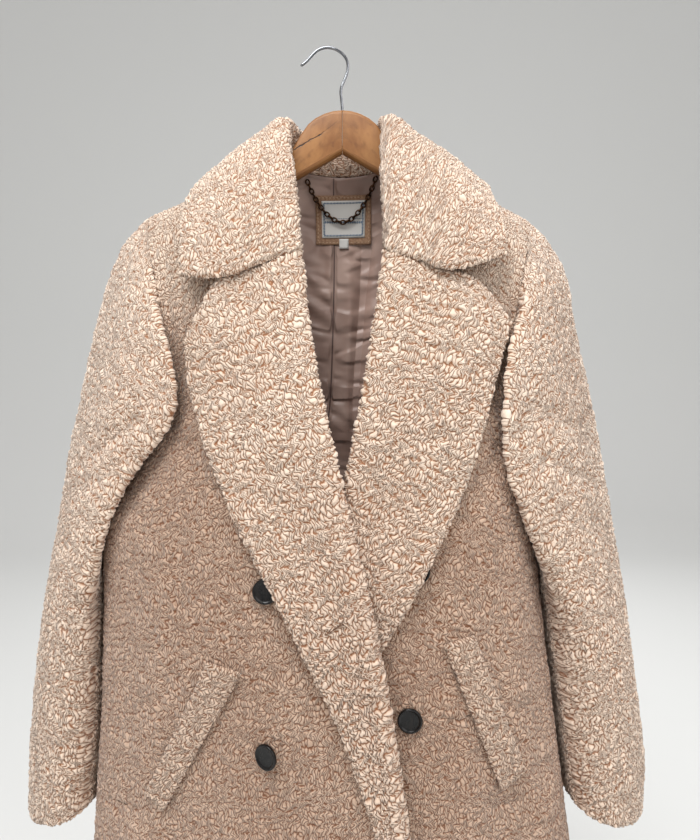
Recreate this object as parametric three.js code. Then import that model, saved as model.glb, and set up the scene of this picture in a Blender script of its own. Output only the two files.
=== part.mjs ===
// A double-breasted coat of curly faux fur on a wooden hanger, rebuilt from one photo.
// Millimetres, +Z up, the front faces -Y, +X is the viewer's right, the origin is the inner top of the hook.
// Tables are in the coat's own frame, whose origin AT lies on the hook's stem line.
import * as THREE from 'three';

const AT = [14.2, 0, 4.3];

// Walls, gaps and hardware
const FUR = 7;
const LINING = 1;
const SEAM = 0.3;
const HOVER = 2.4;
const ROLL = 6.5;
const BUTTON = { radius: 12.5, thick: 4.4, rim: 1.1, dish: 9.3, depth: 1.3 };
const WIRE = 3.2;
const CHAIN = 4.2;
const WELT = 5;
const WOOD = 13;

// Small vector and curve tools
const lerp = (a, b, t) => a + (b - a) * t;
const mix = (p, q, t) => [lerp(p[0], q[0], t), lerp(p[1], q[1], t), lerp(p[2], q[2], t)];
const add = (p, q, k = 1) => [p[0] + q[0] * k, p[1] + q[1] * k, p[2] + q[2] * k];
const sub = (p, q) => add(p, q, -1);
const dot = (p, q) => p[0] * q[0] + p[1] * q[1] + p[2] * q[2];
const cross = (p, q) => [p[1] * q[2] - p[2] * q[1], p[2] * q[0] - p[0] * q[2], p[0] * q[1] - p[1] * q[0]];
const unit = (p) => { const l = Math.hypot(...p) || 1; return [p[0] / l, p[1] / l, p[2] / l]; };
const clamp = (x, a = 0, b = 1) => Math.min(b, Math.max(a, x));
const ease = (t) => { const c = clamp(t); return c * c * (3 - 2 * c); };

// A smooth curve through four points, evaluated between the middle two
function smooth(p0, p1, p2, p3, s) {
  const knot = (a, b) => Math.sqrt(Math.hypot(...sub(a, b))) || 0.05;
  const t1 = knot(p0, p1), t2 = t1 + knot(p1, p2), t3 = t2 + knot(p2, p3), t = lerp(t1, t2, s);
  const a1 = mix(p0, p1, t / t1), a2 = mix(p1, p2, (t - t1) / (t2 - t1)), a3 = mix(p2, p3, (t - t2) / (t3 - t2));
  return mix(mix(a1, a2, t / t2), mix(a2, a3, (t - t1) / (t3 - t1)), s);
}
// Through a list of points (or of curves, each taken at u), at t from 0 to the last index
function through(list, t, at = (p) => p) {
  const last = list.length - 1, i = clamp(Math.floor(t), 0, last - 1);
  const p1 = at(list[i]), p2 = at(list[i + 1]);
  const p0 = i > 0 ? at(list[i - 1]) : add(mix(p1, p1, 0), sub(p1, p2));
  const p3 = i + 2 <= last ? at(list[i + 2]) : add(mix(p2, p2, 0), sub(p2, p1));
  return smooth(p0, p1, p2, p3, t - i);
}
// The value in a table of [key, a, b, ...] rows at a key, for falling or rising keys
function lookup(rows, key, column) {
  const up = rows[1][0] > rows[0][0], n = rows.length;
  let i = 0;
  while (i < n - 2 && (up ? rows[i + 1][0] < key : rows[i + 1][0] > key)) i++;
  const t = clamp((key - rows[i][0]) / (rows[i + 1][0] - rows[i][0]));
  return through(rows.map((r) => [r[0], r[column], 0]), i + t)[1];
}
const loft = (rows, u, v) => through(rows, v * (rows.length - 1), (row) => row(u));

// Folds: soft troughs (depth below 0) and ridges pressed by hand into the cloth.
// x0, z0, x1, z1: the fold's line as seen from the front; wide, deep in millimetres
const FOLDS = {
  front_right: [
    [-168, -415, -120, -470, 16, -5], [-150, -430, -90, -500, 18, 2.5], [-215, -560, -222, -800, 26, -4],
    [-185, -540, -175, -640, 22, 2.5], [-140, -860, -150, -1090, 30, -6], [-90, -830, -96, -1090, 28, 4],
    [-200, -840, -212, -1090, 28, 5], [-30, -900, -20, -1090, 26, -4],
  ],
  front_left: [
    [168, -425, 120, -500, 16, -5], [178, -560, 184, -680, 20, 3], [205, -560, 214, -760, 22, -4],
    [120, -700, 132, -1080, 30, 4], [165, -800, 178, -1090, 28, -6], [215, -820, 226, -1090, 24, 5],
    [88, -860, 90, -1080, 20, -4],
  ],
  back: [
    [-60, -300, -75, -1090, 34, 5], [0, -420, 4, -1090, 30, -6], [70, -360, 82, -1090, 34, 5],
    [-140, -450, -160, -1090, 30, -5], [145, -450, 165, -1090, 30, -5], [-215, -560, -232, -1090, 28, 4],
    [200, -560, 218, -1090, 28, 4],
  ],
  sleeve_right: [
    [-205, -410, -262, -450, 13, -5], [-214, -448, -286, -492, 13, -4], [-200, -330, -235, -400, 18, 3],
    [-300, -560, -318, -700, 18, 3], [-272, -600, -290, -760, 16, -3],
  ],
  sleeve_left: [
    [196, -395, 262, -430, 13, -4], [205, -450, 275, -478, 12, -4.5], [222, -505, 292, -530, 14, -3],
    [236, -330, 250, -400, 18, 3], [290, -640, 305, -790, 16, 3],
  ],
  lapel_right: [[-112, -470, -60, -486, 9, -2.2], [-96, -330, -60, -420, 26, 3]],
  lapel_left: [[60, -430, 118, -418, 9, -2], [80, -330, 60, -420, 24, 3]],
};
function pressed(name, p) {
  let d = 0;
  for (const [x0, z0, x1, z1, wide, deep] of FOLDS[name] || []) {
    const ex = x1 - x0, ez = z1 - z0, l2 = ex * ex + ez * ez;
    const t = ((p[0] - x0) * ex + (p[2] - z0) * ez) / l2, c = clamp(t);
    const off = Math.hypot(p[0] - x0 - ex * c, p[2] - z0 - ez * c) / wide;
    d += deep * Math.exp(-off * off * 1.6) * (t < 0 || t > 1 ? 1 : 0.6 + 0.4 * Math.sin(Math.PI * c));
  }
  return d;
}

// The armhole, one ring for body and sleeve, values per side; a is 0 at the shoulder and a half turn at the underarm
const ARM = { x: [204, 200], tip: 2, hollow: 16, z: [-309.5, -312], high: [118.5, 117], front: 52, back: 46 };
function armhole(side, a) {
  const s = Math.sin(a), c = Math.cos(a), i = side < 0 ? 0 : 1;
  return [side * (ARM.x[i] + ARM.tip * c - ARM.hollow * s * s), -(s > 0 ? ARM.front : ARM.back) * s, ARM.z[i] + ARM.high[i] * c];
}
// The way the sewn edges of the armhole face, turned out into the fold of the underarm
function armOut(side, a) {
  const c = Math.cos(a);
  return unit([side * (0.3 + 0.2 * c + (c < 0 ? 1.05 * c * c : 0)), -Math.sin(a), c]);
}
// The shoulder seam: x, then z on the viewer's left and on the right
const SHOULDER = [
  [72, -117, -117], [107, -138, -138], [140, -158.5, -158.5], [160, -169, -170], [184, -179.5, -183.5],
  [206, -191, -197.5],
];

// Front panels, one row per height from the shoulder seam to the hem.
// turn: share of a half turn round the armhole, or side: x of the side seam; out z; edge x, y, z: the inner edge,
// mid y: the flat of the front; round: how far the side is turned; square: how full the corner is
const FRONT = {
  right: [
    { turn: 0, edge: [-72, 0, -117], mid: 0, round: 0, square: 1 },
    { turn: 1 / 6, edge: [-67, -16, -136], mid: -29, round: 0, square: 1 },
    { turn: 2 / 6, edge: [-60, -34, -168], mid: -52, round: 0, square: 1 },
    { turn: 3 / 6, edge: [-53, -50, -204], mid: -66, round: 0, square: 1 },
    { turn: 4 / 6, edge: [-47, -63, -239], mid: -76, round: 0.2, square: 1 },
    { turn: 5 / 6, edge: [-39, -78, -310], mid: -82, round: 0.5, square: 0.9 },
    { turn: 1, edge: [-27, -88, -378], mid: -85, round: 0.9, square: 0.8 },
    { side: [-222, 1, -470], edge: [-12, -94, -446], mid: -86, round: 1, square: 0.75 },
    { side: [-251, 1, -519], edge: [2, -96, -505], mid: -87, round: 1, square: 0.72 },
    { side: [-254, 1, -608], edge: [24, -97, -600], mid: -88, round: 1, square: 0.7 },
    { side: [-258, 1, -719], edge: [45, -97, -715], mid: -88, round: 1, square: 0.7 },
    { side: [-265, 1, -821], edge: [60, -95, -820], mid: -88, round: 1, square: 0.7 },
    { side: [-272, 1, -920], edge: [77, -93, -920], mid: -88, round: 1, square: 0.7 },
    { side: [-277, 1, -1010], edge: [92, -91, -1010], mid: -88, round: 1, square: 0.7 },
    { side: [-282, 1, -1100], edge: [103, -90, -1100], mid: -87, round: 1, square: 0.7 },
  ],
  left: [
    { turn: 0, edge: [72, 0, -117], mid: 0, round: 0, square: 1 },
    { turn: 1 / 6, edge: [67, -16, -136], mid: -29, round: 0, square: 1 },
    { turn: 2 / 6, edge: [60, -34, -168], mid: -52, round: 0, square: 1 },
    { turn: 3 / 6, edge: [56, -50, -204], mid: -66, round: 0, square: 1 },
    { turn: 4 / 6, edge: [53, -63, -239], mid: -76, round: 0.2, square: 1 },
    { turn: 5 / 6, edge: [42, -72, -310], mid: -80, round: 0.5, square: 0.9 },
    { turn: 1, edge: [32, -75, -378], mid: -83, round: 0.9, square: 0.8 },
    { side: [200, 1, -470], edge: [19, -74, -440], mid: -84, round: 1, square: 0.75 },
    { side: [205, 1, -519], edge: [4, -73, -505], mid: -84, round: 1, square: 0.72 },
    { side: [215, 1, -608], edge: [-18, -70, -600], mid: -84, round: 1, square: 0.7 },
    { side: [229, 1, -719], edge: [-38, -67, -715], mid: -84, round: 1, square: 0.7 },
    { side: [242, 1, -821], edge: [-54, -69, -820], mid: -84, round: 1, square: 0.7 },
    { side: [254, 1, -920], edge: [-60, -76, -920], mid: -84, round: 1, square: 0.7 },
    { side: [261, 1, -1010], edge: [-66, -77, -1010], mid: -84, round: 1, square: 0.7 },
    { side: [267, 1, -1100], edge: [-72, -77, -1100], mid: -84, round: 1, square: 0.7 },
  ],
};
function frontRow(r, side) {
  const o = r.side || armhole(side, Math.PI * r.turn);
  return (u) => {
    const t = clamp(u / 0.8) * Math.PI / 2, across = lerp(u, 1 - Math.cos(u * Math.PI / 2), r.round);
    const fullness = Math.sin(t) ** r.square;
    return [
      lerp(o[0], r.edge[0], across),
      lerp(o[1], r.mid, fullness) + (r.edge[1] - r.mid) * ease((u - 0.5) / 0.5),
      r.turn === 0 ? ridge(lerp(o[0], r.edge[0], across)) : lerp(o[2], r.edge[2], across),
    ];
  };
}
function ridge(x) { return lookup(SHOULDER, Math.abs(x), x < 0 ? 1 : 2); }
function frontPanel(name, side, key) {
  const rows = FRONT[key].map((r) => frontRow(r, side));
  return (u, v) => {
    const p = onArmhole(loft(rows, u, v), rows, side, u, v, 1);
    return [p[0], p[1] - pressed(name, p) * ease(u / 0.15), p[2]];
  };
}
// Near its side each panel is moved onto the exact armhole and side seam, which body and sleeve share
function onArmhole(p, rows, side, u, v, way) {
  const row = v * (rows.length - 1), near = ease(1 - u / 0.25);
  if (near === 0) return p;
  const sides = FRONT[side < 0 ? 'right' : 'left'].slice(6).map((r) => r.side || armhole(side, Math.PI));
  const edge = row < 6 ? armhole(side, way * Math.PI * row / 6) : through(sides, row - 6);
  return add(p, sub(edge, loft(rows, way > 0 ? 0 : side, v)), near);
}

const frontRight = frontPanel('front_right', -1, 'right');
const frontLeft = frontPanel('front_left', 1, 'left');

// The back, one row per height: neck y and z at the side of the neck, mid y and z at the centre
const NECK = 0.65;
const BACK = [
  { turn: 0, neck: [0, -117], mid: [38, -131], round: 0, square: 1, bend: 0.5 },
  { turn: 1 / 6, neck: [30, -140], mid: [43, -152], round: 0, square: 1, bend: 0.8 },
  { turn: 2 / 6, neck: [43, -178], mid: [49, -184], round: 0, square: 1, bend: 1 },
  { turn: 3 / 6, neck: [50, -226], mid: [52, -230], round: 0, square: 1, bend: 1 },
  { turn: 4 / 6, neck: [53, -285], mid: [54, -290], round: 0.2, square: 1, bend: 1 },
  { turn: 5 / 6, neck: [55, -348], mid: [56, -352], round: 0.5, square: 0.9, bend: 1 },
  { turn: 1, neck: [57, -400], mid: [58, -404], round: 0.9, square: 0.8, bend: 1 },
  { sides: [-222, 200], z: -470, neck: [58, -455], mid: [59, -456], round: 1, square: 0.75, bend: 1 },
  { sides: [-251, 205], z: -519, neck: [59, -512], mid: [60, -512], round: 1, square: 0.72, bend: 1 },
  { sides: [-254, 215], z: -608, neck: [60, -605], mid: [61, -605], round: 1, square: 0.7, bend: 1 },
  { sides: [-258, 229], z: -719, neck: [61, -719], mid: [62, -719], round: 1, square: 0.7, bend: 1 },
  { sides: [-265, 242], z: -821, neck: [61, -821], mid: [62, -821], round: 1, square: 0.7, bend: 1 },
  { sides: [-272, 254], z: -920, neck: [61, -920], mid: [62, -920], round: 1, square: 0.7, bend: 1 },
  { sides: [-277, 261], z: -1010, neck: [60, -1010], mid: [61, -1010], round: 1, square: 0.7, bend: 1 },
  { sides: [-282, 267], z: -1100, neck: [60, -1100], mid: [61, -1100], round: 1, square: 0.7, bend: 1 },
];
function backRow(r) {
  const out = [-1, 1].map((side, i) => (r.sides ? [r.sides[i], 1, r.z] : armhole(side, -Math.PI * r.turn)));
  return (w) => {
    const side = w < 0 ? -1 : 1, u = 1 - Math.abs(w), o = out[w < 0 ? 0 : 1];
    const across = lerp(u, 1 - Math.cos(u * Math.PI / 2), r.round), x = lerp(o[0], 0, across);
    const s = clamp((u - NECK) / (1 - NECK)), rise = (1 - (1 - s) ** 2) ** r.bend;
    const t = clamp(u / NECK), y = lerp(o[1], r.neck[0], Math.sin(t * Math.PI / 2) ** r.square);
    let z = lerp(o[2], r.neck[1], t);
    if (r.turn === 0) z = u < NECK ? ridge(x) : lerp(r.neck[1], r.mid[1], rise ** 1.5);
    else if (u > NECK) z = lerp(r.neck[1], r.mid[1], rise);
    return [u > NECK && r.turn === 0 ? side * 72 * (1 - s) : x, u > NECK ? lerp(r.neck[0], r.mid[0], rise) : y, z];
  };
}
const backRows = BACK.map(backRow);
function backPanel(w, v) {
  const p = onArmhole(loft(backRows, w, v), backRows, Math.sign(w) || 1, 1 - Math.abs(w), v, -1);
  return [p[0], p[1] + pressed('back', p) * ease((1 - Math.abs(w)) / 0.12), p[2]];
}

// Sleeves, one ring per row: outer x, z and inner x, z as seen from the front, then the front's x and y, the back's y,
// and how keen the front edge is (1 round)
const SLEEVE = {
  right: [
    [-226, -214, -221, -431, -186, -64, 51, 1], [-243.5, -248, -235, -441, -180, -72, 54, 1],
    [-261, -306, -247, -464, -167, -78, 57, 1], [-276, -372, -259, -498, -198, -78, 60, 1],
    [-290, -440, -262, -542, -233, -73, 63, 0.96], [-303, -512, -262, -590, -254, -66, 65, 0.92],
    [-318, -594, -264, -642, -274, -60, 66, 0.9], [-331, -680, -267, -712, -286, -54, 66, 0.86],
    [-340, -770, -272, -790, -295, -50, 64, 0.86], [-343, -842, -276, -830, -300, -46, 62, 0.88],
  ],
  left: [
    [221, -217, 215, -432, 184, -64, 51, 1], [238.5, -250, 221, -441, 178, -72, 54, 1],
    [250, -307, 221, -461, 171, -79, 57, 1], [265, -372, 218, -494, 166, -82, 60, 1],
    [279, -440, 217, -534, 186, -78, 62, 0.96], [293, -517, 222, -586, 219, -69, 64, 0.92],
    [307, -598, 230, -640, 252, -62, 66, 0.88], [320, -687, 241, -715, 270, -56, 66, 0.86],
    [332, -778, 251, -792, 280, -52, 64, 0.86], [331, -842, 257, -829, 284, -48, 62, 0.88],
  ],
};
function sleeveRow([ox, oz, ix, iz, ridgeX, front, back, keen]) {
  return (a) => {
    const c = Math.cos(a), s = Math.sin(a), e = 0.5 + 0.5 * Math.sign(c) * Math.abs(c) ** (1 / keen);
    const aside = (ridgeX - (ix + ox) / 2) * Math.max(0, s) ** 2.5;
    return [lerp(ix, ox, e) + aside, s > 0 ? -0.5 + (front + 0.5) * s : -0.5 - (back + 0.5) * s, lerp(iz, oz, e)];
  };
}
function sleeveTube(name, side, key) {
  const rows = [(a) => armhole(side, a), ...SLEEVE[key].map(sleeveRow)];
  return (u, v) => {
    const a = u * 2 * Math.PI, p = loft(rows, a, v), d = a < Math.PI ? pressed(name, p) * ease(v / 0.12) : 0;
    return [p[0], p[1] - d * Math.sin(a), p[2]];
  };
}

// Collar: stand and fall in one, a station per row from the viewer's left gorge round the back.
// seam: on the neck edge; fold: the top of the roll; over: the middle of the fall; edge: its outer edge
const COLLAR = [
  { fold: [-40.5, -70, -239], over: [-112, -89, -270], edge: [-156, -81, -268] },
  { fold: [-44, -60, -203], over: [-105, -80, -223], edge: [-158.5, -70, -229] },
  { fold: [-48.5, -46, -164], over: [-108, -66, -183], edge: [-159.5, -53, -199] },
  { fold: [-55, -26, -122], over: [-108, -42, -142.5], edge: [-160, -31, -177] },
  { fold: [-57, -4, -86], over: [-110, -8, -119.5], edge: [-156, -2, -156.5] },
  { fold: [-44, 24, -88], over: [-94, 40, -122], edge: [-138, 38, -167] },
  { fold: [-22, 38, -91], over: [-50, 59, -133], edge: [-72, 62, -184] },
  { fold: [-1, 43, -93], over: [0, 62, -138], edge: [0, 66, -190] },
  { fold: [20, 38, -91], over: [50, 59, -133], edge: [74, 62, -184] },
  { fold: [38, 24, -87], over: [95, 40, -126], edge: [139, 38, -168] },
  { fold: [46, -4, -83], over: [111, -8, -121.5], edge: [160, -2, -158.5] },
  { fold: [45, -26, -122], over: [109, -42, -145], edge: [161, -31, -180] },
  { fold: [45, -46, -164], over: [112, -66, -181], edge: [164, -52, -201] },
  { fold: [46, -60, -203], over: [112, -80, -219], edge: [165, -69, -225] },
  { fold: [46.5, -70, -239], over: [104, -89, -263], edge: [162, -80, -247.5] },
];
// The neck edge of fronts and back, at a station from 0 to 14
function neckEdge(k) {
  if (k < 4) return frontRight(1, (4 - k) / 14);
  if (k > 10) return frontLeft(1, (k - 10) / 14);
  return backPanel((k - 7) / 3 * (1 - NECK), 0);
}
// The direction across the neck seam that the pieces on both sides of it share
const NECK_OUT = [
  [0, -1, 0.1], [0.1, -0.97, 0.2], [0.3, -0.8, 0.45], [0.55, -0.5, 0.65],
  [0.72, 0, 0.7], [0.5, 0.75, 0.25], [0.25, 0.95, 0.15], [0, 1, 0.15],
];
function neckOut(k) {
  const side = k < 7 ? -1 : 1, d = through(NECK_OUT, clamp(k < 7 ? k : 14 - k, 0, 7));
  return unit([side * d[0], d[1], d[2]]);
}
// One turned-over section: up from the seam, round the fold and down to the outer edge
function turnOver(seam, fold, over, edge) {
  const t = unit(sub(over, fold)), back = sub(fold, seam), along = dot(back, t);
  const away = add(back, t, -along), k = Math.min(1, ROLL / (Math.hypot(...away) || 1));
  const near = add(add(fold, t, clamp(Math.abs(along), 4, 8)), away, k * 0.9);
  const up = add(mix(seam, fold, 0.5), unit(away), -0.03 * Math.hypot(...back) - 0.4);
  const points = [seam, up, fold, near, mix(near, over, 0.5), over, edge];
  return (t2) => through(points, t2 * 6);
}
const collarRows = COLLAR.map((r, k) => turnOver(neckEdge(k), r.fold, r.over, r.edge));
function collarShape(u, v) {
  const p = loft(collarRows, u, v), near = ease(1 - u * 6);
  return near ? add(p, sub(neckEdge(v * 14), loft(collarRows, 0, v)), near) : p;
}

// Lapels: a row per height. The roll starts from the front's edge at foldZ; edge x, z: the outer edge; bow raises the
// middle of the row, lift holds the edge off the front
const LAPEL = {
  right: [
    { foldZ: -243, edge: [-152, -331], bow: 23, lift: 4 }, { foldZ: -268, edge: [-151.5, -347], bow: 14, lift: 4 },
    { foldZ: -325, edge: [-146, -382], bow: 4, lift: 2 }, { foldZ: -400, edge: [-131, -430], bow: 0, lift: 1 },
    { foldZ: -480, edge: [-98, -508], bow: 0, lift: 1 }, { foldZ: -580, edge: [-51, -598], bow: 0, lift: 5.5 },
    { foldZ: -700, edge: [0, -705], bow: 0, lift: 1 }, { foldZ: -805, edge: [35, -808], bow: 0, lift: 0.5 },
    { foldZ: -900, edge: [62, -901], bow: 0, lift: 0.5 }, { foldZ: -985, edge: [82, -986], bow: 0, lift: 0 },
  ],
  left: [
    { foldZ: -243, edge: [171, -312], bow: 14, lift: 5 }, { foldZ: -275, edge: [165, -333], bow: 9, lift: 4.5 },
    { foldZ: -335, edge: [154, -370], bow: 0, lift: 3 }, { foldZ: -400, edge: [141, -417], bow: 0, lift: 1 },
    { foldZ: -470, edge: [119, -482], bow: 0, lift: 1 }, { foldZ: -550, edge: [83, -559], bow: 0, lift: 7 },
    { foldZ: -625, edge: [46, -629], bow: 0, lift: 1 }, { foldZ: -695, edge: [8, -696], bow: 0, lift: 0 },
    { foldZ: -750, edge: [-22, -751], bow: 0, lift: 0 },
  ],
};
// Where a surface seen from the front has this x and z
function onto(shape, x, z, u = 0.7, v = 0.3, least = 0) {
  const h = 1e-3;
  for (let k = 0; k < 24; k++) {
    const p = shape(u, v), a = shape(Math.min(u + h, 1), v), b = shape(u, Math.min(v + h, 1));
    const ha = Math.min(u + h, 1) - u || -h, hb = Math.min(v + h, 1) - v || -h;
    const q = ha > 0 ? a : shape(u - h, v), r = hb > 0 ? b : shape(u, v - h);
    const ux = (q[0] - p[0]) / ha, uz = (q[2] - p[2]) / ha, vx = (r[0] - p[0]) / hb, vz = (r[2] - p[2]) / hb;
    const det = ux * vz - uz * vx || 1e-9, dx = x - p[0], dz = z - p[2];
    u = clamp(u + clamp((dx * vz - dz * vx) / det, -0.2, 0.2), least, 1);
    v = clamp(v + clamp((dz * ux - dx * uz) / det, -0.2, 0.2), 0, 1);
  }
  return shape(u, v);
}
function lapelRows(key, panel, side) {
  return LAPEL[key].map((r) => {
    let v = 0.3;
    for (let k = 0; k < 40; k++) v = clamp(v - (panel(1, v)[2] - r.foldZ) / -1100, 0, 1);
    const seam = panel(1, v), fold = [seam[0] - side * ROLL, seam[1] - ROLL, seam[2]];
    const at = (t, raise, hover) => {
      const x = lerp(fold[0], r.edge[0], t), z = lerp(fold[2], r.edge[1], t) + raise;
      return [x, onto(panel, x, z)[1] - FUR - HOVER - hover, z];
    };
    const near = [seam[0] + side * 1, seam[1] - 2 * ROLL, seam[2] - (r.foldZ > -244 ? 4 : 0)];
    const points = [
      seam, [lerp(seam[0], fold[0], 0.75), lerp(seam[1], fold[1], 0.25), seam[2]], fold, near,
      at(0.38, r.bow * 0.5, 1.5 + r.lift * 0.3), at(0.72, r.bow, 0.8 + r.lift * 0.7), at(1, 0, r.lift),
    ];
    return (u) => through(points, u * 6);
  });
}
const lapelShape = (name, key, panel, side) => {
  const rows = lapelRows(key, panel, side);
  return (u, v) => {
    const p = loft(rows, u, v);
    return [p[0], p[1] - pressed(name, p) * ease((u - 0.55) / 0.15), p[2]];
  };
};
const lapelRight = lapelShape('lapel_right', 'right', frontRight, -1);
const lapelLeft = lapelShape('lapel_left', 'left', frontLeft, 1);

// Grid lines from 0 to 1: even, or crowded at a soft edge whose rim is rounded
function lines(count, length, softStart, softEnd, extra = []) {
  const rim = FUR * 0.85 / length, list = [0, 1, ...extra];
  const from = softStart ? rim : 0, to = softEnd ? 1 - rim : 1;
  for (let i = 0; i <= count; i++) list.push(lerp(from, to, i / count));
  if (softStart) list.push(rim * 0.12, rim * 0.42);
  if (softEnd) list.push(1 - rim * 0.12, 1 - rim * 0.42);
  return [...new Set(list.map((x) => Math.round(x * 1e5) / 1e5))].sort((a, b) => a - b);
}

// A cloth wall on both sides of a middle surface. soft: the free edges with their lengths across, whose rims are
// rounded; pull: for a sewn edge, the direction its end face stands in
function wall(shape, us, vs, { thick = FUR, soft = {}, pull, closed = false, faces, lift = 0, least = 0, pressedAt }) {
  const h = 1e-3, outer = [], inner = [];
  let flip = 1;
  const normal = (u, v) => {
    const u0 = closed ? u - h : Math.max(least, u - h), u1 = closed ? u + h : Math.min(1, u + h);
    const along = sub(shape(u, Math.min(1, v + h)), shape(u, Math.max(0, v - h)));
    return unit(add([0, 0, 0], cross(sub(shape(u1, v), shape(u0, v)), along), flip));
  };
  if (dot(normal(faces.at[0], faces.at[1]), faces.to) < 0) flip = -1;
  const rimAt = (d) => Math.max(0.13, Math.sqrt(1 - (1 - clamp(d / (FUR * 0.85))) ** 2));
  const n = vs.length, m = closed ? us.length - 1 : us.length;
  for (let j = 0; j < n; j++) for (let i = 0; i < m; i++) {
    const u = us[i], v = vs[j], p = shape(u, v);
    let N = normal(u, v), k = 1;
    if (soft.u0) k = Math.min(k, rimAt(u * soft.u0));
    if (soft.u1) k = Math.min(k, rimAt((1 - u) * soft.u1));
    if (soft.v0) k = Math.min(k, rimAt(v * soft.v0));
    if (soft.v1) k = Math.min(k, rimAt((1 - v) * soft.v1));
    if (pull) N = unit(pull(u, v, N));
    if (pressedAt) k = Math.min(k, pressedAt(u, v));
    const off = typeof lift === 'function' ? lift(u, v) : lift;
    outer.push(add(p, N, off + thick / 2 * k));
    inner.push(add(p, N, off - thick / 2 * k));
  }
  return shell(outer, inner, m, n, closed, flip);
}
// Two matching grids of points joined round their rim into one closed body
function shell(outer, inner, m, n, closed, flip = 1) {
  const points = [...outer, ...inner], o = outer.length, faces = [];
  const quad = (a, b, c, d) => faces.push(...(flip > 0 ? [a, b, c, a, c, d] : [a, c, b, a, d, c]));
  const next = (i) => (i + 1) % m, last = closed ? m : m - 1;
  for (let j = 0; j < n - 1; j++) for (let i = 0; i < last; i++) {
    const a = j * m + i, b = j * m + next(i), c = b + m, d = a + m;
    quad(a, b, c, d);
    quad(o + a, o + d, o + c, o + b);
  }
  for (let i = 0; i < last; i++) {
    const a = i, b = next(i), c = (n - 1) * m + i, d = (n - 1) * m + next(i);
    quad(a, o + a, o + b, b);
    quad(c, d, o + d, o + c);
  }
  if (!closed) for (let j = 0; j < n - 1; j++) {
    const a = j * m, b = (j + 1) * m, c = a + m - 1, d = b + m - 1;
    quad(a, b, o + b, o + a);
    quad(c, o + c, o + d, d);
  }
  return { points, faces };
}

// Meshes with a plain material each
const LOOKS = {
  fur: { color: 0xd9bfa3, roughness: 0.95 }, satin: { color: 0x9c8078, roughness: 0.5 },
  suede: { color: 0xb8926f, roughness: 0.8 }, woven: { color: 0xe6e4dc, roughness: 0.8 },
  wood: { color: 0xb9824a, roughness: 0.5 }, chrome: { color: 0xc9ccd0, roughness: 0.2, metalness: 1 },
  bronze: { color: 0x5a4634, roughness: 0.4, metalness: 0.9 }, horn: { color: 0x1c1a1a, roughness: 0.3 },
};
const coat = new THREE.Group();
coat.name = 'faux_fur_coat';
function piece(name, { points, faces }, look) {
  const flat = [];
  for (const p of points) flat.push(p[0] + AT[0], p[1] + AT[1], p[2] + AT[2]);
  let volume = 0;
  for (let i = 0; i < faces.length; i += 3) {
    volume += dot(points[faces[i]], cross(points[faces[i + 1]], points[faces[i + 2]]));
  }
  const outward = [], [second, third] = volume > 0 ? [1, 2] : [2, 1];
  for (let i = 0; i < faces.length; i += 3) outward.push(faces[i], faces[i + second], faces[i + third]);
  const geometry = new THREE.BufferGeometry();
  geometry.setAttribute('position', new THREE.Float32BufferAttribute(flat, 3));
  geometry.setIndex(outward);
  geometry.computeVertexNormals();
  const mesh = new THREE.Mesh(geometry, new THREE.MeshStandardMaterial(LOOKS[look]));
  mesh.name = name;
  coat.add(mesh);
  return mesh;
}

// A sewn edge: its end face stands in a direction that both pieces share
function shoulderOut(x) {
  const t = clamp((Math.abs(x) - 72) / 130);
  return unit([Math.sign(x) * lerp(0.72, 0.5, t), 0, lerp(0.7, 1, t)]);
}
function sewn(N, edges) {
  let r = N;
  for (const [distance, reach, direction] of edges) r = mix(direction, r, ease(distance / reach));
  return r;
}
// Heights of the body's grid, as rows of its tables: closer round the armhole, where the sleeve has the same points
const BODY_ROWS = [
  0, 0.5, 1, 1.5, 2, 2.5, 3, 3.5, 4, 4.5, 5, 5.5, 6, 6.4, 7, 7.6, 8.3, 9, 10, 11, 12, 13,
];
const bodyLines = [...BODY_ROWS.map((r) => r / 14), ...[1, 0.42, 0.12, 0].map((k) => 1 - k * FUR * 0.85 / 1000)]
  .sort((a, b) => a - b).map((v) => Math.max(v, SEAM / 2 / 600));
const EDGE = SEAM / 2 / 250;
const ACROSS = [EDGE, 0.075, 0.165, 0.27, 0.385, 0.51, 0.64, 0.76, 0.88, 1 - EDGE];
const sideOut = (side, v, way) => {
  const row = v * 14, under = ease((row - 6) / 0.9);
  return mix(armOut(side, way * Math.PI * Math.min(1, row / 6)), [side, 0, 0], under);
};

// The way a front's inner edge faces: as the neck seam where the collar is, then straight out
function frontEdgeOut(side, row) {
  if (row < 4) return neckOut(side < 0 ? 4 - row : 10 + row);
  return mix(neckOut(0), [0, -1, 0], ease(row - 4));
}

// Fronts
for (const [name, side, shape] of [['front_right', -1, frontRight], ['front_left', 1, frontLeft]]) {
  const pull = (u, v, N) => sewn(N, [
    [v * 1000, 24, shoulderOut(shape(u, 0)[0])],
    [(1 - u) * 200, 22, frontEdgeOut(side, v * 14)],
    [u * 330, 34, sideOut(side, v, 1)],
  ]);
  const faces = { at: [0.6, 0.6], to: [0, -1, 0] };
  piece(name, wall(shape, ACROSS, bodyLines, { soft: { v1: 1000 }, pull, faces }), 'fur');
}

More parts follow.
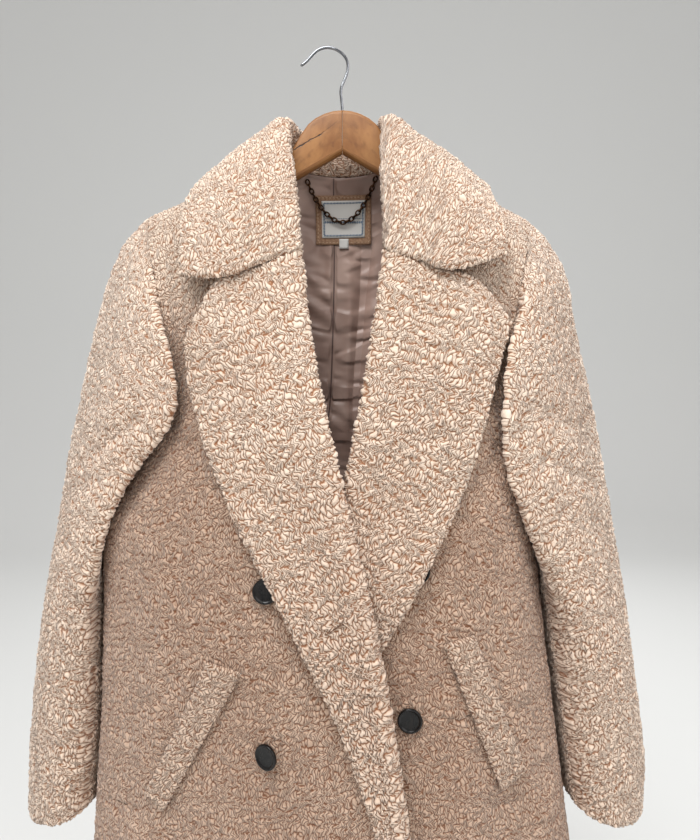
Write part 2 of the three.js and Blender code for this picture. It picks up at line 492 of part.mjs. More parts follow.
// Back and its lining
const overNeck = [1, 0.75, 0.5, 0.25].map((k) => k * (1 - NECK));
const half = [...ACROSS.slice(0, -1).map((u) => 1 - u * NECK), ...overNeck];
const backLines = [...half.map((w) => -w), 0, ...half.reverse()].map((w) => clamp(w, EDGE - 1, 1 - EDGE));
const backPull = (w, v, N) => {
  const side = Math.sign(w) || 1, inNeck = Math.abs(w) < 1 - NECK + 1e-6;
  return sewn(N, [
    [v * 1000, 24, inNeck ? neckOut(7 + w / (1 - NECK) * 3) : shoulderOut(backPanel(w, 0)[0])],
    [(1 - Math.abs(w)) * 330, 34, sideOut(side, v, -1)],
  ]);
};
const TO_THE_BACK = { at: [0, 0.5], to: [0, 1, 0] };
const backOptions = { soft: { v1: 1000 }, pull: backPull, least: -1, faces: TO_THE_BACK };
piece('back', wall(backPanel, backLines, bodyLines, backOptions), 'fur');

// Sleeves
for (const [name, side, key] of [['sleeve_right', -1, 'right'], ['sleeve_left', 1, 'left']]) {
  const us = Array.from({ length: 25 }, (_, i) => i / 24);
  const vs = lines(13, 620, false, true).map((v) => Math.max(v, SEAM / 2 / 300));
  const pull = (u, v, N) => sewn(N, [[v * 620, 22, armOut(side, u * 2 * Math.PI)]]);
  const pressedAt = (u, v) => lerp(lerp(1, 0.45, ease(1 - Math.abs(u - 0.5) / 0.22)), 1, ease(v * 620 / 40));
  const options = { soft: { v1: 620 }, pull, pressedAt, closed: true, faces: { at: [0.25, 0.5], to: [0, -1, 0] } };
  piece(name, wall(sleeveTube(name, side, key), us, vs, options), 'fur');
}

// Collar and lapels
{
  const us = [0.012, 0.1, 0.19, 0.27, 0.333, 0.39, 0.44, 0.5, 0.6, 0.7, 0.8, 0.9, 0.975, 0.99, 1];
  const pressedAt = (u) => lerp(0.6, 1, ease(u * 100 / 12));
  const stations = [0.5, 1, 1.5, 2, 2.5, 3, 3.5, 4, 4.75, 5.5, 6.25], across = [...stations, 7, ...stations.map((k) => 14 - k)];
  const rims = [0, 0.12, 0.42, 1].map((k) => 0.0012 + k * FUR * 0.85 / 560);
  const vs = [...rims, ...across.map((k) => k / 14), ...rims.map((r) => 1 - r)].sort((a, b) => a - b);
  const pull = (u, v, N) => sewn(N, [[u * 100, 14, neckOut(v * 14).map((x) => -x)]]);
  const options = { soft: { u1: 290, v0: 560, v1: 560 }, pull, pressedAt, faces: { at: [0.8, 0.1], to: [0, -1, 0] } };
  piece('collar', wall(collarShape, us, vs, options), 'fur');
}
for (const [name, shape] of [['lapel_right', lapelRight], ['lapel_left', lapelLeft]]) {
  const us = [0.02, 0.1, 0.18, 0.26, 0.333, 0.41, 0.5, 0.6, 0.7, 0.8, 0.9, 0.955, 0.985, 1];
  const vs = lines(17, 760, true, true).map((v) => Math.max(v, 0.0016));
  const pull = (u, v, N) => sewn(N, [[u * 70, 8, [0, 1, 0]]]);
  const pressedAt = (u) => lerp(0.7, 1, ease(u * 70 / 6));
  const options = { soft: { u1: 190, v0: 760, v1: 760 }, pull, pressedAt, faces: { at: [0.8, 0.5], to: [0, -1, 0] } };
  piece(name, wall(shape, us, vs, options), 'fur');
}

// The back's lining, inside every second line of its grid: close at the neck, looser below, and clear of the hanger
const CLOSE = FUR / 2 + 1 + LINING / 2, LOOSE = FUR / 2 + 5.4;
{
  const ws = backLines.filter((w, i) => Math.abs(w) < 0.97 && (Math.abs(w) < 0.36 || i % 2 === 0));
  const from = (w) => lerp(0.0035, 0.085, ease((Math.abs(w) - 0.3) / 0.14));
  const rows = [0, 0.5, 1, 1.5, 2, 2.5, 3, 3.7, 4.5, 5.3, 6, 7, 8, 9, 10, 11, 12, 13, 13.8], vs = rows.map((r) => r / 13.8);
  const to = (w, k) => lerp(from(w), 13.8 / 14, k);
  const loose = (w, k) => Math.max(ease((to(w, k) * 14 - 2.2) / 2), ease((Math.abs(w) - 0.22) / 0.1));
  const lift = (w, k) => -lerp(CLOSE, LOOSE, loose(w, k));
  const pull = (w, k, N) => sewn(N, [[k * 1000, 20, neckOut(7 + clamp(w / (1 - NECK), -1, 1) * 3)]]);
  const options = { thick: LINING, lift, pull, least: -1, faces: TO_THE_BACK };
  piece('lining_back', wall((w, k) => backPanel(w, to(w, k)), ws, vs, options), 'satin');
}
// A small flat piece between four corners in x and z, laid in front of a surface: gap clear of it, thick in all
function laid(shape, corners, across, down, thick, off, options = {}) {
  const [a, b, c, d] = corners, start = options.start || [0.6, 0.5, 0];
  const f = (u, v) => {
    const x = lerp(lerp(a[0], b[0], u), lerp(d[0], c[0], u), v), z = lerp(lerp(a[1], b[1], u), lerp(d[1], c[1], u), v);
    return [x, onto(shape, x, z, ...start)[1] - off - thick / 2, z];
  };
  return wall(f, across, down, { thick, soft: options.soft, faces: { at: [0.5, 0.5], to: [0, -1, 0] } });
}
const evenly = (n) => Array.from({ length: n + 1 }, (_, i) => i / n);

// Patch, woven label and size tab: corners in x and z, grid, wall and how far clear of the lining
const ON_LINING = CLOSE + LINING / 2, NECK_INSIDE = [0.02, 0.12, -1];
const LABELS = [
  { name: 'label_patch', corners: [[-30, -151.5], [34.5, -150.5], [34.5, -205.5], [-29.5, -206]], across: 6, down: 5, thick: 0.9, clear: 0.9, look: 'suede' },
  { name: 'woven_label', corners: [[-23, -157.5], [28, -156.5], [27, -197.5], [-22.5, -198.5]], across: 5, down: 4, thick: 0.5, clear: 2.2, look: 'woven' },
  { name: 'size_tab', corners: [[-2.5, -199.2], [8.3, -199.2], [8.3, -210.5], [-2.5, -210.5]], across: 2, down: 2, thick: 0.5, clear: 2.3, look: 'woven' },
];
for (const { name, corners, across, down, thick, clear, look } of LABELS) {
  const grid = laid(backPanel, corners, evenly(across), evenly(down), thick, ON_LINING + clear, { start: NECK_INSIDE });
  piece(name, grid, look);
}

// Pocket welts, from four corners each
const WELTS = {
  welt_right: [[-128.4, -641.9], [-94.3, -650.8], [-175.4, -796.7], [-194.9, -780.7]],
  welt_left: [[102.1, -627.7], [132.5, -618.8], [187.5, -761.2], [162, -779.2]],
};
for (const [name, shape] of [['welt_right', frontRight], ['welt_left', frontLeft]]) {
  const rim = { u0: 34, u1: 34, v0: 150, v1: 150 };
  const across = lines(2, 34, true, true), down = lines(5, 150, true, true);
  piece(name, laid(shape, WELTS[name], across, down, WELT, FUR / 2 + 1.15, { soft: rim }), 'fur');
}

// Solids of revolution and tubes
function turned(profile, count, at, axis) {
  const n = unit(axis), e = unit(cross([0, 0, 1], n)), f = cross(n, e), points = [], faces = [];
  const ring = (i, k) => 1 + (i - 1) * count + (k % count), last = profile.length - 1;
  points.push(add(at, n, profile[0][1]));
  for (const [r, h] of profile.slice(1, last)) for (let k = 0; k < count; k++) {
    const a = 2 * Math.PI * k / count;
    points.push(add(add(add(at, n, h), e, r * Math.cos(a)), f, r * Math.sin(a)));
  }
  const end = points.push(add(at, n, profile[last][1])) - 1;
  for (let k = 0; k < count; k++) {
    faces.push(0, ring(1, k + 1), ring(1, k), end, ring(last - 1, k), ring(last - 1, k + 1));
    for (let i = 1; i < last - 1; i++) {
      const a = ring(i, k), b = ring(i, k + 1), c = ring(i + 1, k + 1), d = ring(i + 1, k);
      faces.push(a, b, c, a, c, d);
    }
  }
  return { points, faces };
}
// A bar along a path; section gives the ring's points at each station as pairs
function bar(path, section) {
  const n = path.length;
  const rings = path.map((p, i) => {
    const t = unit(sub(path[Math.min(i + 1, n - 1)], path[Math.max(i - 1, 0)]));
    const e = unit(cross([0, 1, 0], t)), f = cross(t, e);
    return section(i).map(([a, b]) => add(add(p, e, a), f, b));
  });
  return skin(rings, path[0], path[n - 1]);
}
function round(count, a, b = a) {
  const angles = Array.from({ length: count }, (_, k) => 2 * Math.PI * k / count);
  return angles.map((t) => [a * Math.cos(t), b * Math.sin(t)]);
}

// Buttons: x and z of the middle, the front they sit on, the lean to the viewer's left in degrees, and how far
// the back is clear of the front's fur
const BUTTONS = [
  { name: 'button_right_top', shape: frontRight, x: -71.2, z: -571.3, lean: 0, clear: 0.55 },
  { name: 'button_right_low', shape: frontRight, x: -69.8, z: -731.2, lean: 32, clear: -0.6 },
  { name: 'button_left_top', shape: frontLeft, x: 76.2, z: -556.1, lean: 0, clear: 0.55 },
  { name: 'button_left_low', shape: frontLeft, x: 69.8, z: -706.2, lean: 6, clear: 0.55 },
];
for (const { name, shape, x, z, lean, clear } of BUTTONS) {
  const { radius: r, thick: t, rim, dish, depth } = BUTTON;
  const a = lean * Math.PI / 180;
  let least = onto(shape, x, z)[1];
  for (let k = 0; k < 8; k++) {
    const dx = r * Math.cos(k * Math.PI / 4), dz = r * Math.sin(k * Math.PI / 4);
    least = Math.min(least, onto(shape, x + dx * Math.cos(a), z + dz)[1] + dx * Math.sin(a));
  }
  const at = [x, least - FUR / 2 - clear, z];
  const profile = [
    [0, 0], [r - 1.6, 0], [r, 1.1], [r, t - 0.9], [r - rim, t], [r - rim - 1, t], [dish, t - depth], [0, t - depth],
  ];
  piece(name, turned(profile, 18, at, [-Math.sin(a), -Math.cos(a), 0]), 'horn');
}

// Hanger: two halves that meet in a mitre under the hook; x from the stem, then the top and bottom edges
const STEM = 1.6;
const HANGER = [
  [0.15, -71, -118], [10, -72, -123.6], [19.5, -74.8, -129], [29, -79.5, -134.5], [37, -86, -139],
  [44, -95.5, -143], [50, -105.5, -146.5], [57, -115.5, -150], [70, -128, -156], [105, -147, -172],
  [140, -167.5, -190], [168, -184, -202], [188, -194, -208], [198, -201, -206.5],
];
function hangerRing([x, top, bottom], side, wide, count) {
  const high = (top - bottom) / 2, corner = Math.min(wide * 0.93, high * 0.98);
  return Array.from({ length: count }, (_, k) => {
    const a = 2 * Math.PI * (k + 0.5) / count, c = Math.cos(a), d = Math.sin(a);
    const y = Math.sign(c) * (wide - corner) + c * corner, z = Math.sign(d) * (high - corner) + d * corner;
    return [STEM + side * x, y, (top + bottom) / 2 + z];
  });
}
// Rings joined end to end and closed by a point at each end
function skin(rings, first, end) {
  const count = rings[0].length, last = rings.length - 1, points = rings.flat(), faces = [];
  points.push(first, end);
  for (let k = 0; k < count; k++) {
    const l = (k + 1) % count;
    faces.push(points.length - 2, l, k, points.length - 1, last * count + k, last * count + l);
    for (let i = 0; i < last; i++) {
      const a = i * count + k, b = i * count + l;
      faces.push(a, b, b + count, a, b + count, a + count);
    }
  }
  return { points, faces };
}
for (const [name, side] of [['hanger_right', -1], ['hanger_left', 1]]) {
  const last = HANGER.length - 1;
  const rings = HANGER.map((row, i) => hangerRing(row, side, WOOD / 2 * (i === last ? 0.45 : 1), 14));
  const middle = (i, out) => [STEM + side * (HANGER[i][0] + out), 0, (HANGER[i][1] + HANGER[i][2]) / 2];
  piece(name, skin(rings, middle(0, 0), middle(last, 1.5)), 'wood');
}

// Hook of bent wire, from its foot in the wood
const HOOK = [
  [STEM, -70.3], [1.2, -64], [0.4, -56], [-0.1, -51], [0.8, -45.2], [3.4, -38.8], [5.8, -33], [7.4, -27], [7.7, -21.3], [5.9, -15], [2.4, -10.2],
  [-2.3, -6.5], [-7.7, -3.9], [-14.2, -2.7], [-20.1, -3.6], [-25.5, -5.9], [-29.6, -9.4], [-33.1, -13.1], [-36.8, -17.2], [-40.3, -20.1], [-43.9, -22.5],
].map(([x, z]) => [x, 0, z]);
piece('hook', bar(HOOK, () => round(8, WIRE / 2)), 'chrome');

// Chain loop at the back of the neck: its two ends, how far it sags, and one link per pitch
const LOOP = { left: [-39, -137], right: [39.5, -134], sag: [1.3, -181.5], links: 25 };
{
  const path = [], n = LOOP.links * 2, b = LOOP.sag[1], ends = [LOOP.left, LOOP.right];
  for (let i = 0; i <= n; i++) {
    const t = i / n * 2 - 1, e = ends[t < 0 ? 0 : 1], k = Math.abs(t);
    const x = lerp(LOOP.sag[0], e[0], k ** 0.86 * 0.55 + k * 0.45);
    const z = lerp(b, e[1], (Math.cosh(1.7 * k) - 1) / (Math.cosh(1.7) - 1) * 0.55 + 0.45 * k ** 1.5);
    const front = onto(backPanel, x, z, ...NECK_INSIDE)[1] - ON_LINING;
    path.push([x, front - lerp(6, 3.7, ease((k - 0.45) / 0.5)), z]);
  }
  const [wide, narrow] = [CHAIN / 2, CHAIN / 4.5];
  piece('chain_loop', bar(path, (i) => (i % 2 ? round(6, wide, narrow) : round(6, narrow, wide))), 'bronze');
}

export default coat;
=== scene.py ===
# A double-breasted coat of curly faux fur on a wooden hanger: its finishes and fine form, over the frame.
# Sizes are millimetres in the coat's own frame and turn into metres where a mesh is made.
import math

import bmesh
import bpy
import numpy as np
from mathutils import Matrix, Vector


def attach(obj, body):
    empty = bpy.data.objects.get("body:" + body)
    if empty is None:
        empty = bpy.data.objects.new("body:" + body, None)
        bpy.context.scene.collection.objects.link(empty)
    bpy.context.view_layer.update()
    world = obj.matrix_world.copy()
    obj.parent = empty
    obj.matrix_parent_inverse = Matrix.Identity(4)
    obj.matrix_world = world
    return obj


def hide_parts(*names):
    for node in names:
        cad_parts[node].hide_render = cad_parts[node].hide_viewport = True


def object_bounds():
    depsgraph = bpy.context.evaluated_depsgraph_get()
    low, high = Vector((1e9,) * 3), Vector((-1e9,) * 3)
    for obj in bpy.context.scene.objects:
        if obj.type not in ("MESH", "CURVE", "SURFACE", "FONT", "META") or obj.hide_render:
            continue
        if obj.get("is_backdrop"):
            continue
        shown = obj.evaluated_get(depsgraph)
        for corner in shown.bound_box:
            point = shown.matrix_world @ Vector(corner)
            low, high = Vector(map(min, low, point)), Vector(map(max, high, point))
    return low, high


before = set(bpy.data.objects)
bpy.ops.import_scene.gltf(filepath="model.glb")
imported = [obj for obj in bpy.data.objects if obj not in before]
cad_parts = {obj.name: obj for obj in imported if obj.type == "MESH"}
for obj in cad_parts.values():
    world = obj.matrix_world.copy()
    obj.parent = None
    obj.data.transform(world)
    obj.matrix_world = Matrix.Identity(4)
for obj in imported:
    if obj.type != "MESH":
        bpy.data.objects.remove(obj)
cad_low, cad_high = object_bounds()

# Fronts: two panels of curly faux fur backed with satin, cut round the armhole and the neck. They are
# sewn to the back at the shoulder and down the side, hang from the hanger, and gape under the lapels.
MM = 0.001
AT = np.array([14.2, 0.0, 4.3])
FUR = 7.0
SEAM = 0.3
CELL = 1.0


def lerp(a, b, t):
    return a + (b - a) * t


def ease(t):
    c = np.clip(t, 0.0, 1.0)
    return c * c * (3.0 - 2.0 * c)


def length(a):
    return np.linalg.norm(a, axis=-1, keepdims=True)


def unit(a):
    return a / np.maximum(length(a), 1e-9)


def points(*columns):
    return np.stack(np.broadcast_arrays(*[np.asarray(c, float) for c in columns]), axis=-1)


def smooth(p0, p1, p2, p3, s):
    """The stretch between p1 and p2 of a centripetal curve through four points."""
    def knot(a, b):
        d = np.sqrt(length(a - b))
        return np.where(d < 1e-9, 0.05, d)
    t1 = knot(p0, p1)
    t2 = t1 + knot(p1, p2)
    t3 = t2 + knot(p2, p3)
    t = t1 + (t2 - t1) * s
    a1 = lerp(p0, p1, t / t1)
    a2 = lerp(p1, p2, (t - t1) / (t2 - t1))
    a3 = lerp(p2, p3, (t - t2) / (t3 - t2))
    return lerp(lerp(a1, a2, t / t2), lerp(a2, a3, (t - t1) / (t3 - t1)), s)


def through(rows, t):
    """A curve through rows[0], rows[1], ... at t from 0 to the last index.
    rows is (n, 3) for one curve, or (n, m, 3) for m curves with one t each."""
    rows, t = np.asarray(rows, float), np.asarray(t, float)
    ends = [2 * rows[:1] - rows[1:2], rows, 2 * rows[-1:] - rows[-2:-1]]
    wide = np.concatenate(ends)
    i = np.clip(np.floor(t).astype(int), 0, len(rows) - 2)
    s = (t - i)[..., None]
    if rows.ndim == 2:
        return smooth(wide[i], wide[i + 1], wide[i + 2], wide[i + 3], s)
    k = np.arange(rows.shape[1])
    return smooth(wide[i, k], wide[i + 1, k], wide[i + 2, k], wide[i + 3, k], s)


def lookup(rows, key, column):
    """The value in a table of (key, a, b, ...) rows at each key."""
    rows = np.asarray(rows, float)
    i = np.clip(np.searchsorted(rows[:, 0], key, side="left") - 1, 0, len(rows) - 2)
    t = np.clip((key - rows[i, 0]) / (rows[i + 1, 0] - rows[i, 0]), 0, 1)
    curve = points(rows[:, 0], rows[:, column], 0.0)
    return through(curve, i + t)[..., 1]


# A fold is a line x0, z0, x1, z1 seen from the front, then how wide it is and how far it stands out
FOLDS = {
    "front_right": [
        (-168, -415, -120, -470, 16, -5), (-150, -430, -90, -500, 18, 2.5),
        (-215, -560, -222, -800, 26, -4),
        (-185, -540, -175, -640, 22, 2.5), (-140, -860, -150, -1090, 30, -6),
        (-90, -830, -96, -1090, 28, 4), (-200, -840, -212, -1090, 28, 5), (-30, -900, -20, -1090, 26, -4),
    ],
    "front_left": [
        (168, -425, 120, -500, 16, -5), (178, -560, 184, -680, 20, 3), (205, -560, 214, -760, 22, -4),
        (120, -700, 132, -1080, 30, 4), (165, -800, 178, -1090, 28, -6), (215, -820, 226, -1090, 24, 5),
        (88, -860, 90, -1080, 20, -4),
    ],
}


def pressed(name, p):
    d = np.zeros(p.shape[:-1])
    for x0, z0, x1, z1, wide, deep in FOLDS.get(name, []):
        ex, ez = x1 - x0, z1 - z0
        t = ((p[..., 0] - x0) * ex + (p[..., 2] - z0) * ez) / (ex * ex + ez * ez)
        c = np.clip(t, 0, 1)
        off = np.hypot(p[..., 0] - x0 - ex * c, p[..., 2] - z0 - ez * c) / wide
        along = np.where((t < 0) | (t > 1), 1.0, 0.6 + 0.4 * np.sin(np.pi * c))
        d += deep * np.exp(-off * off * 1.6) * along
    return d


# The armhole ring, x, z and high for the viewer's left and right; a is 0 on the shoulder, pi underneath
ARM = {"x": (204, 200), "tip": 2, "hollow": 16, "z": (-309.5, -312), "high": (118.5, 117), "front": 52,
       "back": 46}


def armhole(side, a):
    side, a = np.broadcast_arrays(np.asarray(side, float), np.asarray(a, float))
    s, c = np.sin(a), np.cos(a)
    pick = lambda pair: np.where(side < 0, pair[0], pair[1])
    x = side * (pick(ARM["x"]) + ARM["tip"] * c - ARM["hollow"] * s * s)
    y = -np.where(s > 0, ARM["front"], ARM["back"]) * s
    return points(x, y, pick(ARM["z"]) + pick(ARM["high"]) * c)


def arm_out(side, a):
    a = np.asarray(a, float)
    c = np.cos(a)
    return unit(points(side * (0.3 + 0.2 * c + np.where(c < 0, 1.05 * c * c, 0)), -np.sin(a), c))


# The shoulder line: x, then z at the viewer's left and right
SHOULDER = [
    (72, -117, -117), (107, -138, -138), (140, -158.5, -158.5), (160, -169, -170), (184, -179.5, -183.5),
    (206, -191, -197.5),
]


def ridge(x):
    return np.where(x < 0, lookup(SHOULDER, np.abs(x), 1), lookup(SHOULDER, np.abs(x), 2))


# A panel runs from its armhole or side seam, u 0, to its free edge, u 1, and down over ROWS spans of rows,
# SET of them along the armhole. A row: how far round the armhole, or the side seam's x and z; the free edge;
# the middle's y; how rounded; how square
ROWS, SET = 14, 6
FRONT = {
    "right": [
        (0, (-72, 0, -117), 0, 0, 1), (1 / 6, (-67, -16, -136), -29, 0, 1),
        (2 / 6, (-60, -34, -168), -52, 0, 1),
        (3 / 6, (-53, -50, -204), -66, 0, 1), (4 / 6, (-47, -63, -239), -76, 0.2, 1),
        (5 / 6, (-39, -78, -310), -82, 0.5, 0.9), (1, (-27, -88, -378), -85, 0.9, 0.8),
        ((-222, -470), (-12, -94, -446), -86, 1, 0.75), ((-251, -519), (2, -96, -505), -87, 1, 0.72),
        ((-254, -608), (24, -97, -600), -88, 1, 0.7), ((-258, -719), (45, -97, -715), -88, 1, 0.7),
        ((-265, -821), (60, -95, -820), -88, 1, 0.7), ((-272, -920), (77, -93, -920), -88, 1, 0.7),
        ((-277, -1010), (92, -91, -1010), -88, 1, 0.7), ((-282, -1100), (103, -90, -1100), -87, 1, 0.7),
    ],
    "left": [
        (0, (72, 0, -117), 0, 0, 1), (1 / 6, (67, -16, -136), -29, 0, 1),
        (2 / 6, (60, -34, -168), -52, 0, 1),
        (3 / 6, (56, -50, -204), -66, 0, 1), (4 / 6, (53, -63, -239), -76, 0.2, 1),
        (5 / 6, (42, -72, -310), -80, 0.5, 0.9), (1, (32, -75, -378), -83, 0.9, 0.8),
        ((200, -470), (19, -74, -440), -84, 1, 0.75), ((205, -519), (4, -73, -505), -84, 1, 0.72),
        ((215, -608), (-18, -70, -600), -84, 1, 0.7), ((229, -719), (-38, -67, -715), -84, 1, 0.7),
        ((242, -821), (-54, -69, -820), -84, 1, 0.7), ((254, -920), (-60, -76, -920), -84, 1, 0.7),
        ((261, -1010), (-66, -77, -1010), -84, 1, 0.7), ((267, -1100), (-72, -77, -1100), -84, 1, 0.7),
    ],
}


def start_of(row, side):
    """Where a front's row begins: on the armhole, or on the side seam below it."""
    return points(row[0][0], 1, row[0][1]) if isinstance(row[0], tuple) else armhole(side, np.pi * row[0])


def front_row(row, side, u):
    (ex, ey, ez), mid, rounded, square = row[1:]
    o = start_of(row, side)
    across = lerp(u, 1 - np.cos(u * np.pi / 2), rounded)
    fullness = np.sin(np.clip(u / 0.8, 0, 1) * np.pi / 2) ** square
    x = lerp(o[0], ex, across)
    y = lerp(o[1], mid, fullness) + (ey - mid) * ease((u - 0.5) / 0.5)
    z = ridge(x) if row[0] == 0 else lerp(o[2], ez, across)
    return points(x, y, z)


def on_armhole(p, raw, side, u, row, way):
    """Moves a panel near its side onto the exact armhole and side seam."""
    near = ease(1 - u / 0.25)
    edge = np.where((row < SET)[:, None], armhole(side, way * np.pi * np.minimum(row, SET) / SET),
                    side_seam(side, row))
    return p + (edge - raw) * near[:, None]


def side_seam(side, row):
    found = np.zeros((len(row), 3))
    for key, chosen in (("right", side < 0), ("left", side > 0)):
        seam = np.array([start_of(r, -1 if key == "right" else 1) for r in FRONT[key][SET:]])
        found = np.where(np.broadcast_to(chosen, row.shape)[:, None],
                         through(seam, np.maximum(row - SET, 0)), found)
    return found


def front_panel(name, side, key):
    def shape(u, v):
        u, v = np.broadcast_arrays(np.atleast_1d(np.asarray(u, float)), np.asarray(v, float))
        rows = np.array([front_row(r, side, u) for r in FRONT[key]])
        starts = np.array([front_row(r, side, np.zeros(1)) for r in FRONT[key]])[:, 0]
        row = v * ROWS
        sides = np.broadcast_to(float(side), row.shape)
        p = on_armhole(through(rows, row), through(starts, row), sides, u, row, 1)
        p[:, 1] -= pressed(name, p) * ease(u / 0.15)
        return p
    return shape


front_right = front_panel("front_right", -1, "right")
front_left = front_panel("front_left", 1, "left")
# Which way the pile stands along the neck seam, from a gorge to the middle of the back
NECK_OUT = np.array([
    (0, -1, 0.1), (0.1, -0.97, 0.2), (0.3, -0.8, 0.45), (0.55, -0.5, 0.65),
    (0.72, 0, 0.7), (0.5, 0.75, 0.25), (0.25, 0.95, 0.15), (0, 1, 0.15),
])


def neck_out(k):
    k = np.asarray(k, float)
    d = through(NECK_OUT, np.clip(np.where(k < 7, k, 14 - k), 0, 7))
    return unit(d * points(np.where(k < 7, -1, 1), 1, 1))


def sewn(normal, edges):
    """Turns the normals, near each sewn edge, to the direction that both pieces share there."""
    for distance, reach, direction in edges:
        normal = lerp(direction, normal, ease(distance / reach)[..., None])
    return unit(normal)


def shoulder_out(x):
    t = np.clip((np.abs(x) - 72) / 130, 0, 1)
    return unit(points(np.sign(x) * lerp(0.72, 0.5, t), 0, lerp(0.7, 1, t)))


def side_out(side, v, way):
    row = v * ROWS
    turned = arm_out(side, way * np.pi * np.minimum(1, row / SET))
    return lerp(turned, points(side, 0, 0), ease((row - SET) / 0.9)[..., None])


def front_edge_out(side, row):
    over = neck_out(np.where(row < 4, 4 - row if side < 0 else 10 + row, 0))
    return lerp(over, np.array([0, -1.0, 0]), ease(row - 4)[..., None])


# A free edge is rounded over RIM, with grid lines at these shares of it
RIM = 0.85 * FUR
RIMS = (0.12, 0.3, 0.55, 0.8)


def spread(shape, fixed, axis, cell, first=0.0, last=1.0, soft=(False, False)):
    """Lines from first to last, a cell apart in millimetres along the surface, the other number fixed."""
    t = np.linspace(first, last, 500)
    p = shape(t, np.full_like(t, fixed)) if axis == 0 else shape(np.full_like(t, fixed), t)
    run = np.concatenate([[0], np.cumsum(np.linalg.norm(np.diff(p, axis=0), axis=1))])
    marks = [np.linspace(RIM if soft[0] else 0, run[-1] - (RIM if soft[1] else 0),
                         max(3, round(run[-1] / cell)))]
    if soft[0]:
        marks.append(RIM * np.array((0,) + RIMS))
    if soft[1]:
        marks.append(run[-1] - RIM * np.array((0,) + RIMS))
    return np.interp(np.unique(np.concatenate(marks)), run, t)


def slopes(p, closed):
    """Normals of a grid of points, from its neighbours."""
    if closed:
        du = np.roll(p, -1, axis=1) - np.roll(p, 1, axis=1)
    else:
        du = np.gradient(p, axis=1)
    return unit(np.cross(du, np.gradient(p, axis=0)))


def run_along(p, axis, start):
    """The distance along a grid from the line start, negative before it."""
    step = np.linalg.norm(np.diff(p, axis=axis), axis=-1)
    total = np.concatenate([np.zeros_like(np.take(step, [0], axis=axis)), np.cumsum(step, axis=axis)],
                           axis=axis)
    return total - np.take(total, [start], axis=axis)


def rim_at(d):
    return np.maximum(0.13, np.sqrt(1 - (1 - np.clip(d / RIM, 0, 1)) ** 2))


def every(count, step, closed=False):
    """Every step-th index of a grid line, the last one too."""
    picked = list(range(0, count if closed else count - 1, step))
    return picked if closed else picked + [count - 1]


def make_mesh(name, verts, faces, uvs, slots, looks, pile=None, lay=None):
    mesh = bpy.data.meshes.new(name)
    mesh.from_pydata([tuple(v) for v in (np.asarray(verts) + AT) * MM], [], faces)
    layer = mesh.uv_layers.new(name="UVMap")
    flat = np.asarray([c for face in uvs for c in face], dtype=np.float32).ravel()
    layer.data.foreach_set("uv", flat)
    for look in looks:
        mesh.materials.append(look)
    mesh.polygons.foreach_set("material_index", np.asarray(slots, dtype=np.int32))
    mesh.polygons.foreach_set("use_smooth", np.ones(len(faces), dtype=bool))
    if pile is not None:
        mesh.attributes.new("pile", "FLOAT", "POINT").data.foreach_set("value",
                                                                       np.asarray(pile, dtype=np.float32))
        where = mesh.attributes.new("lay", "FLOAT_VECTOR", "POINT")
        where.data.foreach_set("vector", np.asarray(lay, dtype=np.float32).ravel())
    mesh.validate()
    mesh.update()
    piece = bpy.data.objects.new(name, mesh)
    bpy.context.scene.collection.objects.link(piece)
    return piece


def sheet_mesh(name, outer, inner, uv, looks, coarse=6, closed=False, mask=None, lay=None):
    """Two grids joined round their rim, outer fine, inner coarse; uv has one column more if closed."""
    n, m = outer.shape[:2]
    js, cols = every(n, coarse), every(m, coarse, closed)
    verts = np.concatenate([outer.reshape(-1, 3), inner[np.ix_(js, cols)].reshape(-1, 3)])
    at = lambda j, i: j * m + i % m
    low = lambda b, a: n * m + b * len(cols) + a % len(cols)
    faces, uvs, slots = [], [], []
    a, b = np.meshgrid(np.arange(m if closed else m - 1), np.arange(n - 1))
    a, b = a.ravel(), b.ravel()
    corners = ((0, 0), (1, 0), (1, 1), (0, 1))
    faces += np.stack([(b + db) * m + (a + da) % m for da, db in corners], axis=1).tolist()
    uvs += np.stack([uv[b + db, a + da] for da, db in corners], axis=1).tolist()
    slots += [0] * len(faces)
    ends = cols + [m] if closed else cols
    last = len(ends) - 1

    def add(face, places, slot):
        faces.append(face)
        uvs.append([tuple(uv[j, i]) for j, i in places])
        slots.append(slot)
    for q in range(len(js) - 1):
        for k in range(last):
            face = [low(q, k), low(q + 1, k), low(q + 1, k + 1), low(q, k + 1)]
            add(face, [(js[q], ends[k]), (js[q + 1], ends[k]), (js[q + 1], ends[k + 1]),
                       (js[q], ends[k + 1])], 1)
    for k in range(last):
        span = list(range(ends[k], ends[k + 1] + 1))
        face = [low(0, k), low(0, k + 1)] + [at(0, i) for i in reversed(span)]
        add(face, [(0, span[0]), (0, span[-1])] + [(0, i) for i in reversed(span)], 0)
        face = [at(n - 1, i) for i in span] + [low(len(js) - 1, k + 1), low(len(js) - 1, k)]
        add(face, [(n - 1, i) for i in span] + [(n - 1, span[-1]), (n - 1, span[0])], 0)
    if not closed:
        for q in range(len(js) - 1):
            span = list(range(js[q], js[q + 1] + 1))
            face = [at(j, 0) for j in span] + [low(q + 1, 0), low(q, 0)]
            add([*face], [(j, 0) for j in span] + [(span[-1], 0), (span[0], 0)], 0)
            face = [at(j, m - 1) for j in reversed(span)] + [low(q, last), low(q + 1, last)]
            add(face, [(j, m - 1) for j in reversed(span)] + [(span[0], m - 1), (span[-1], m - 1)], 0)
    if lay is None:
        return make_mesh(name, verts, faces, uvs, slots, looks)
    hidden = len(verts) - n * m
    mask = np.concatenate([mask.ravel(), np.zeros(hidden)])
    lay = np.concatenate([np.concatenate([lay, np.zeros((n, m, 1))], axis=2).reshape(-1, 3),
                          np.zeros((hidden, 3))])
    return make_mesh(name, verts, faces, uvs, slots, looks, mask, lay)


